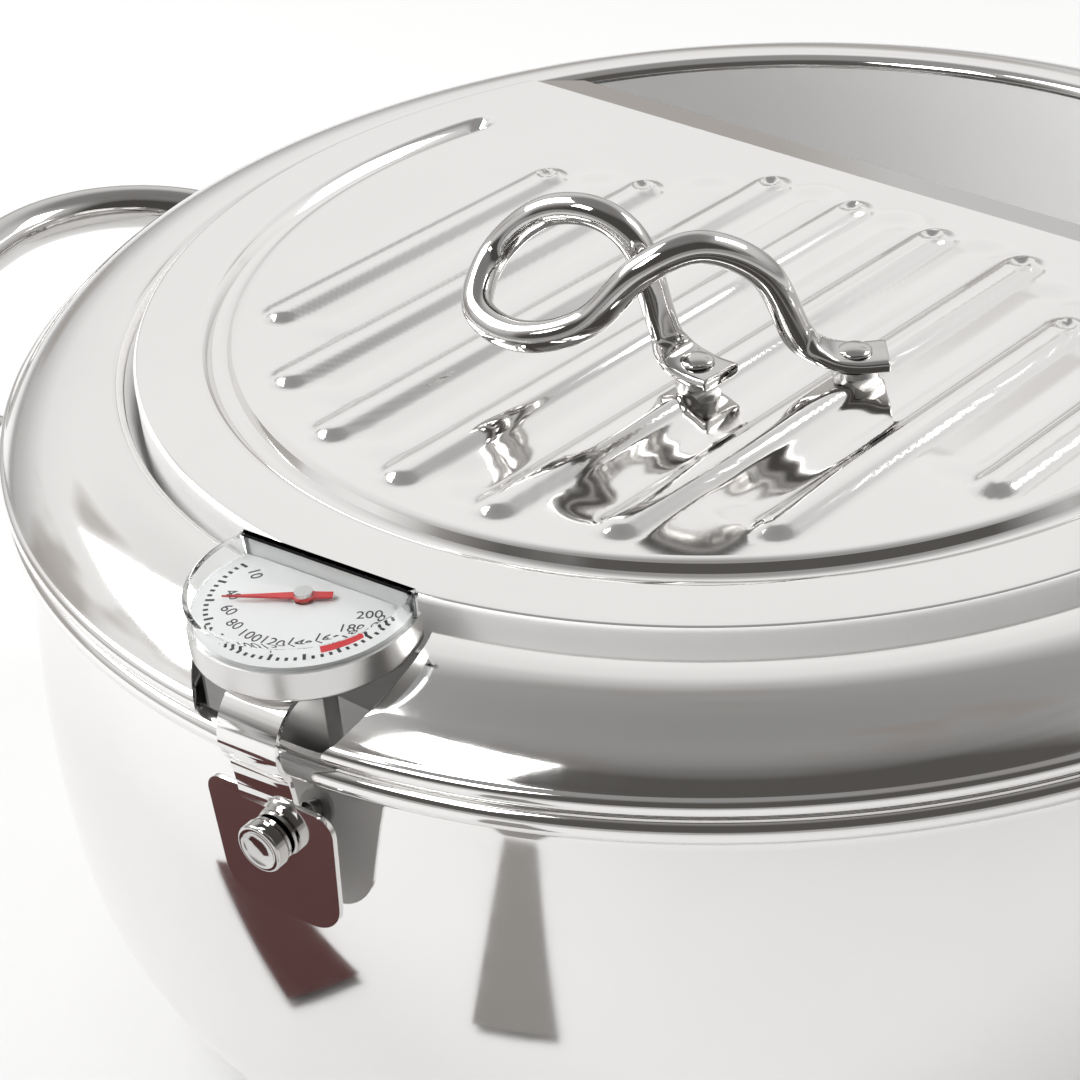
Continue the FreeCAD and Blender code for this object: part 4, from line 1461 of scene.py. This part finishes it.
    def build_screw(self) -> None:
        """The clamp screw with its grooved, shallow-dished knob."""
        plate = self.pot.bead_radius + self.pot.bead + self.plate_out
        height = self.pot.height - self.screw_drop
        tip = self.pot.side_radius(height - 1.5) + 0.4
        foot = plate + 0.3
        knob, high = self.knob, self.knob_high
        profile = [(0.0, tip + 0.3), (0.9, tip + 0.1), (1.5, tip + 0.6), (1.5, foot),
                   (knob - 0.5, foot), (knob - 0.25, foot + 0.1), (knob - 0.2, foot + 0.55),
                   (knob - 0.55, foot + 0.65), (knob - 0.55, foot + 0.85),
                   (knob, foot + 1.05)]
        profile += arc((knob - 0.45, foot + high - 0.45), 0.45, 0, 90, 6)
        profile += [(knob - 0.9, foot + high), (knob - 1.1, foot + high - 0.12),
                    (knob - 1.5, foot + high - 0.35), (1.2, foot + high - 0.5),
                    (0.0, foot + high - 0.55)]
        screw = spun("clamp_screw_knob", profile, steps=64, axis=Vector((1, 0, 0)),
                     along=lambda p: Vector((p[1], self.shift, height + p[0])) * MM,
                     centre=Vector((0, self.shift, height)) * MM)
        smooth(screw, 50)
        weighted(screw)
        dress(turned(screw, self.azimuth), Finish.ROD)
        settle(screw, "clamp_screw", ["clamp_screw"])


def bend_between(start: Point, corner: Point, end: Point, steps: int) -> list[Point]:
    """A soft bend from one point past a corner to another.

    Args:
        start: Where it starts.
        corner: The corner it is drawn towards.
        end: Where it ends.
        steps: How many runs it has.

    Returns:
        The bend's points after the first one.
    """
    points = []
    for n in range(1, steps + 1):
        t = n / steps
        points.append(tuple((1 - t) ** 2 * a + 2 * t * (1 - t) * b + t * t * c
                            for a, b, c in zip(start, corner, end)))
    return points


# ---------------------------------------------------------------- carried-over pieces

CAD_FINISHES: dict[str, Finish] = {
    "base_core": Finish.ALUMINIUM, "ring_collar": Finish.SATIN,
    "left_handle_feet": Finish.ROD, "right_handle_feet": Finish.ROD,
    "lid_handle_spacers": Finish.SATIN,
    "dial_support": Finish.SATIN, "stem_tube": Finish.SATIN,
    "stem_plug": Finish.SATIN, "arbor_bush": Finish.BRASS, "pointer_arbor": Finish.SATIN,
    "bimetal_coil": Finish.BIMETAL, "pointer": Finish.RED, "pointer_cap": Finish.SATIN,
    "stem_nut": Finish.SATIN, "clamp_inner_leg": Finish.SATIN, "clamp_bush": Finish.SATIN,
}


def dress_frame(nodes: dict[str, bpy.types.Object]) -> None:
    """Dresses every CAD node that is carried over as it is.

    Args:
        nodes: The frame's nodes by name.
    """
    for name, finish in CAD_FINISHES.items():
        dress(nodes[name], finish)


# ---------------------------------------------------------------- studio

@dataclass
class Studio:
    """The floor, the lights and the camera. Metres and degrees, the lens in millimetres."""

    azimuth: float = 294.0
    elevation: float = 28.6645
    distance: float = 0.424355
    aim_height: float = 0.104
    pan: float = 4.7622
    tilt: float = 4.0484
    roll: float = -2.6598
    lens: float = 83.19113

    def build(self) -> None:
        """Builds the floor, the world, the lights and the camera."""
        deselect()
        bpy.ops.mesh.primitive_plane_add(size=30.0, location=(0, 0, -0.0005))
        floor = bpy.context.object
        floor.name = "studio_floor"
        floor.data.materials.append(PlainFinish("floor_paper", (0.8, 0.8, 0.8), 0.6, 0.02).build())
        self.build_world()
        self.build_cards()
        self.build_lights()
        self.build_camera()

    def build_world(self) -> None:
        """A bright studio round, darker overhead and behind the camera."""
        world = bpy.data.worlds.new("studio_round")
        bpy.context.scene.world = world
        world.use_nodes = True
        tree = world.node_tree
        back = tree.nodes["Background"]
        link = tree.links.new
        place = node(tree, "ShaderNodeTexCoord")
        parts = node(tree, "ShaderNodeSeparateXYZ")
        link(place.outputs["Generated"], parts.inputs["Vector"])
        ramp = node(tree, "ShaderNodeValToRGB")
        link(parts.outputs["Z"], ramp.inputs["Fac"])
        stops = ramp.color_ramp
        # Tones from the horizon at 0 to straight above at 1; all below the horizon has the first.
        stops.elements[0].position, stops.elements[0].color = 0.0, (0.5, 0.49, 0.48, 1)
        stops.elements[1].position, stops.elements[1].color = 1.0, (0.3, 0.3, 0.3, 1)
        for spot, tone in ((0.12, 0.62), (0.3, 0.9), (0.5, 0.97), (0.7, 0.85), (0.86, 0.36)):
            stop = stops.elements.new(spot)
            stop.color = (tone, tone * 0.995, tone * 0.985, 1)
        front = node(tree, "ShaderNodeVectorMath", operation="DOT_PRODUCT")
        link(place.outputs["Generated"], front.inputs[0])
        turn = math.radians(self.azimuth)
        front.inputs[1].default_value = (math.cos(turn), math.sin(turn), 0.0)
        masks = []
        for source, low, high in ((front.outputs["Value"], 0.1, 0.5),
                                  (parts.outputs["Z"], 0.05, 0.2),
                                  (parts.outputs["Z"], 0.97, 0.8)):
            mask = node(tree, "ShaderNodeMapRange", From_Min=low, From_Max=high)
            link(source, mask.inputs["Value"])
            masks.append(mask.outputs["Result"])
        dark = masks[0]
        for other in masks[1:]:
            both = node(tree, "ShaderNodeMath", operation="MULTIPLY")
            link(dark, both.inputs[0])
            link(other, both.inputs[1])
            dark = both.outputs[0]
        patches = node(tree, "ShaderNodeTexNoise", Scale=2.6, Detail=2.0)
        link(place.outputs["Generated"], patches.inputs["Vector"])
        spots = node(tree, "ShaderNodeMapRange", From_Min=0.56, From_Max=0.66, To_Max=0.55)
        link(patches.outputs["Fac"], spots.inputs["Value"])
        shade = node(tree, "ShaderNodeMix", data_type="RGBA")
        link(spots.outputs["Result"], shade.inputs["Factor"])
        link(ramp.outputs["Color"], shade.inputs[6])
        shade.inputs[7].default_value = (0.3, 0.26, 0.23, 1)
        room = node(tree, "ShaderNodeMix", data_type="RGBA")
        link(dark, room.inputs["Factor"])
        link(shade.outputs[2], room.inputs[6])
        room.inputs[7].default_value = (0.1, 0.095, 0.09, 1)
        link(room.outputs[2], back.inputs["Color"])
        back.inputs["Strength"].default_value = 1.0

    def build_cards(self) -> None:
        """Two cards flat on the floor, hidden from the camera, that the steel mirrors."""
        # Each card's x and y, width and length, turn in degrees, and tint.
        cards = ((-0.106, -0.185, 0.074, 0.040, 13.6, (0.06, 0.008, 0.006)),
                 (-0.018, -0.32, 0.03, 0.24, -7.0, (0.24, 0.23, 0.22)))
        for index, (x, y, wide, high, yaw, tint) in enumerate(cards):
            deselect()
            bpy.ops.mesh.primitive_plane_add(size=1, location=(x, y, 0.002),
                                             rotation=(0, 0, math.radians(yaw)))
            card = bpy.context.object
            card.name = f"dark_card_{index}"
            card.scale = (wide, high, 1)
            bpy.ops.object.transform_apply(location=True, rotation=True, scale=True)
            card.data.materials.append(PlainFinish(f"card_{index}", tint, 0.8, 0.1).build())
            card.visible_camera = False

    def build_lights(self) -> None:
        """Soft panels over and beside the pot."""
        # Each panel's place, side and power in watts.
        panels = ((-1.1, -0.15, 1.2, 0.9, 16.0), (0.8, 0.7, 1.0, 0.6, 7.0),
                  (-0.5, -1.1, 1.3, 0.5, 9.0))
        for index, (x, y, z, size, power) in enumerate(panels):
            deselect()
            bpy.ops.object.light_add(type="AREA", location=(x, y, z))
            lamp = bpy.context.object
            lamp.name = f"soft_panel_{index}"
            lamp.data.shape = "SQUARE"
            lamp.data.size = size
            lamp.data.energy = power
            lamp.rotation_euler = (Vector((0, 0, 0.1)) - lamp.location).to_track_quat(
                "-Z", "Y").to_euler()

    def build_camera(self) -> None:
        """A long lens that looks down at the rim, panned, tilted and rolled a little."""
        deselect()
        rise = math.radians(self.elevation)
        away = Vector((math.cos(rise) * math.cos(math.radians(self.azimuth)),
                       math.cos(rise) * math.sin(math.radians(self.azimuth)), math.sin(rise)))
        ahead = -away
        right = ahead.cross(UP).normalized()
        down = ahead.cross(right)
        view = Matrix((right, down, ahead))
        for axis, angle in (("Y", self.pan), ("X", self.tilt), ("Z", self.roll)):
            view = Matrix.Rotation(math.radians(angle), 3, axis) @ view
        pose = Matrix((view[0], -view[1], -view[2])).transposed().to_4x4()
        bpy.ops.object.camera_add()
        camera = bpy.context.object
        camera.name = "studio_camera"
        camera.data.lens = self.lens
        camera.data.sensor_width = 36.0
        camera.data.clip_start = 0.01
        pose.translation = Vector((0, 0, self.aim_height)) + away * self.distance
        camera.matrix_world = pose
        bpy.context.scene.camera = camera


def corners(box: Iterable[Iterable[float]]) -> list[list[float]]:
    """A box's two corners as plain lists of numbers."""
    return [[float(v) for v in corner] for corner in box]


def main() -> None:
    """Builds the pot's looks in order."""
    logging.basicConfig(level=logging.INFO, format="%(message)s")
    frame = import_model()
    pot = Pot()
    pot.build()
    dial = Thermometer(pot)
    SplashRing(pot).build(dial)
    lid = DrainLid(pot)
    lid.build()
    handle = LidHandle(lid)
    handle.build()
    handle.build_rivets()
    dial.build()
    dress_frame(frame["nodes"])
    Studio().build()
    bpy.context.scene.view_settings.view_transform = "Standard"


if __name__ == "__main__":
    main()
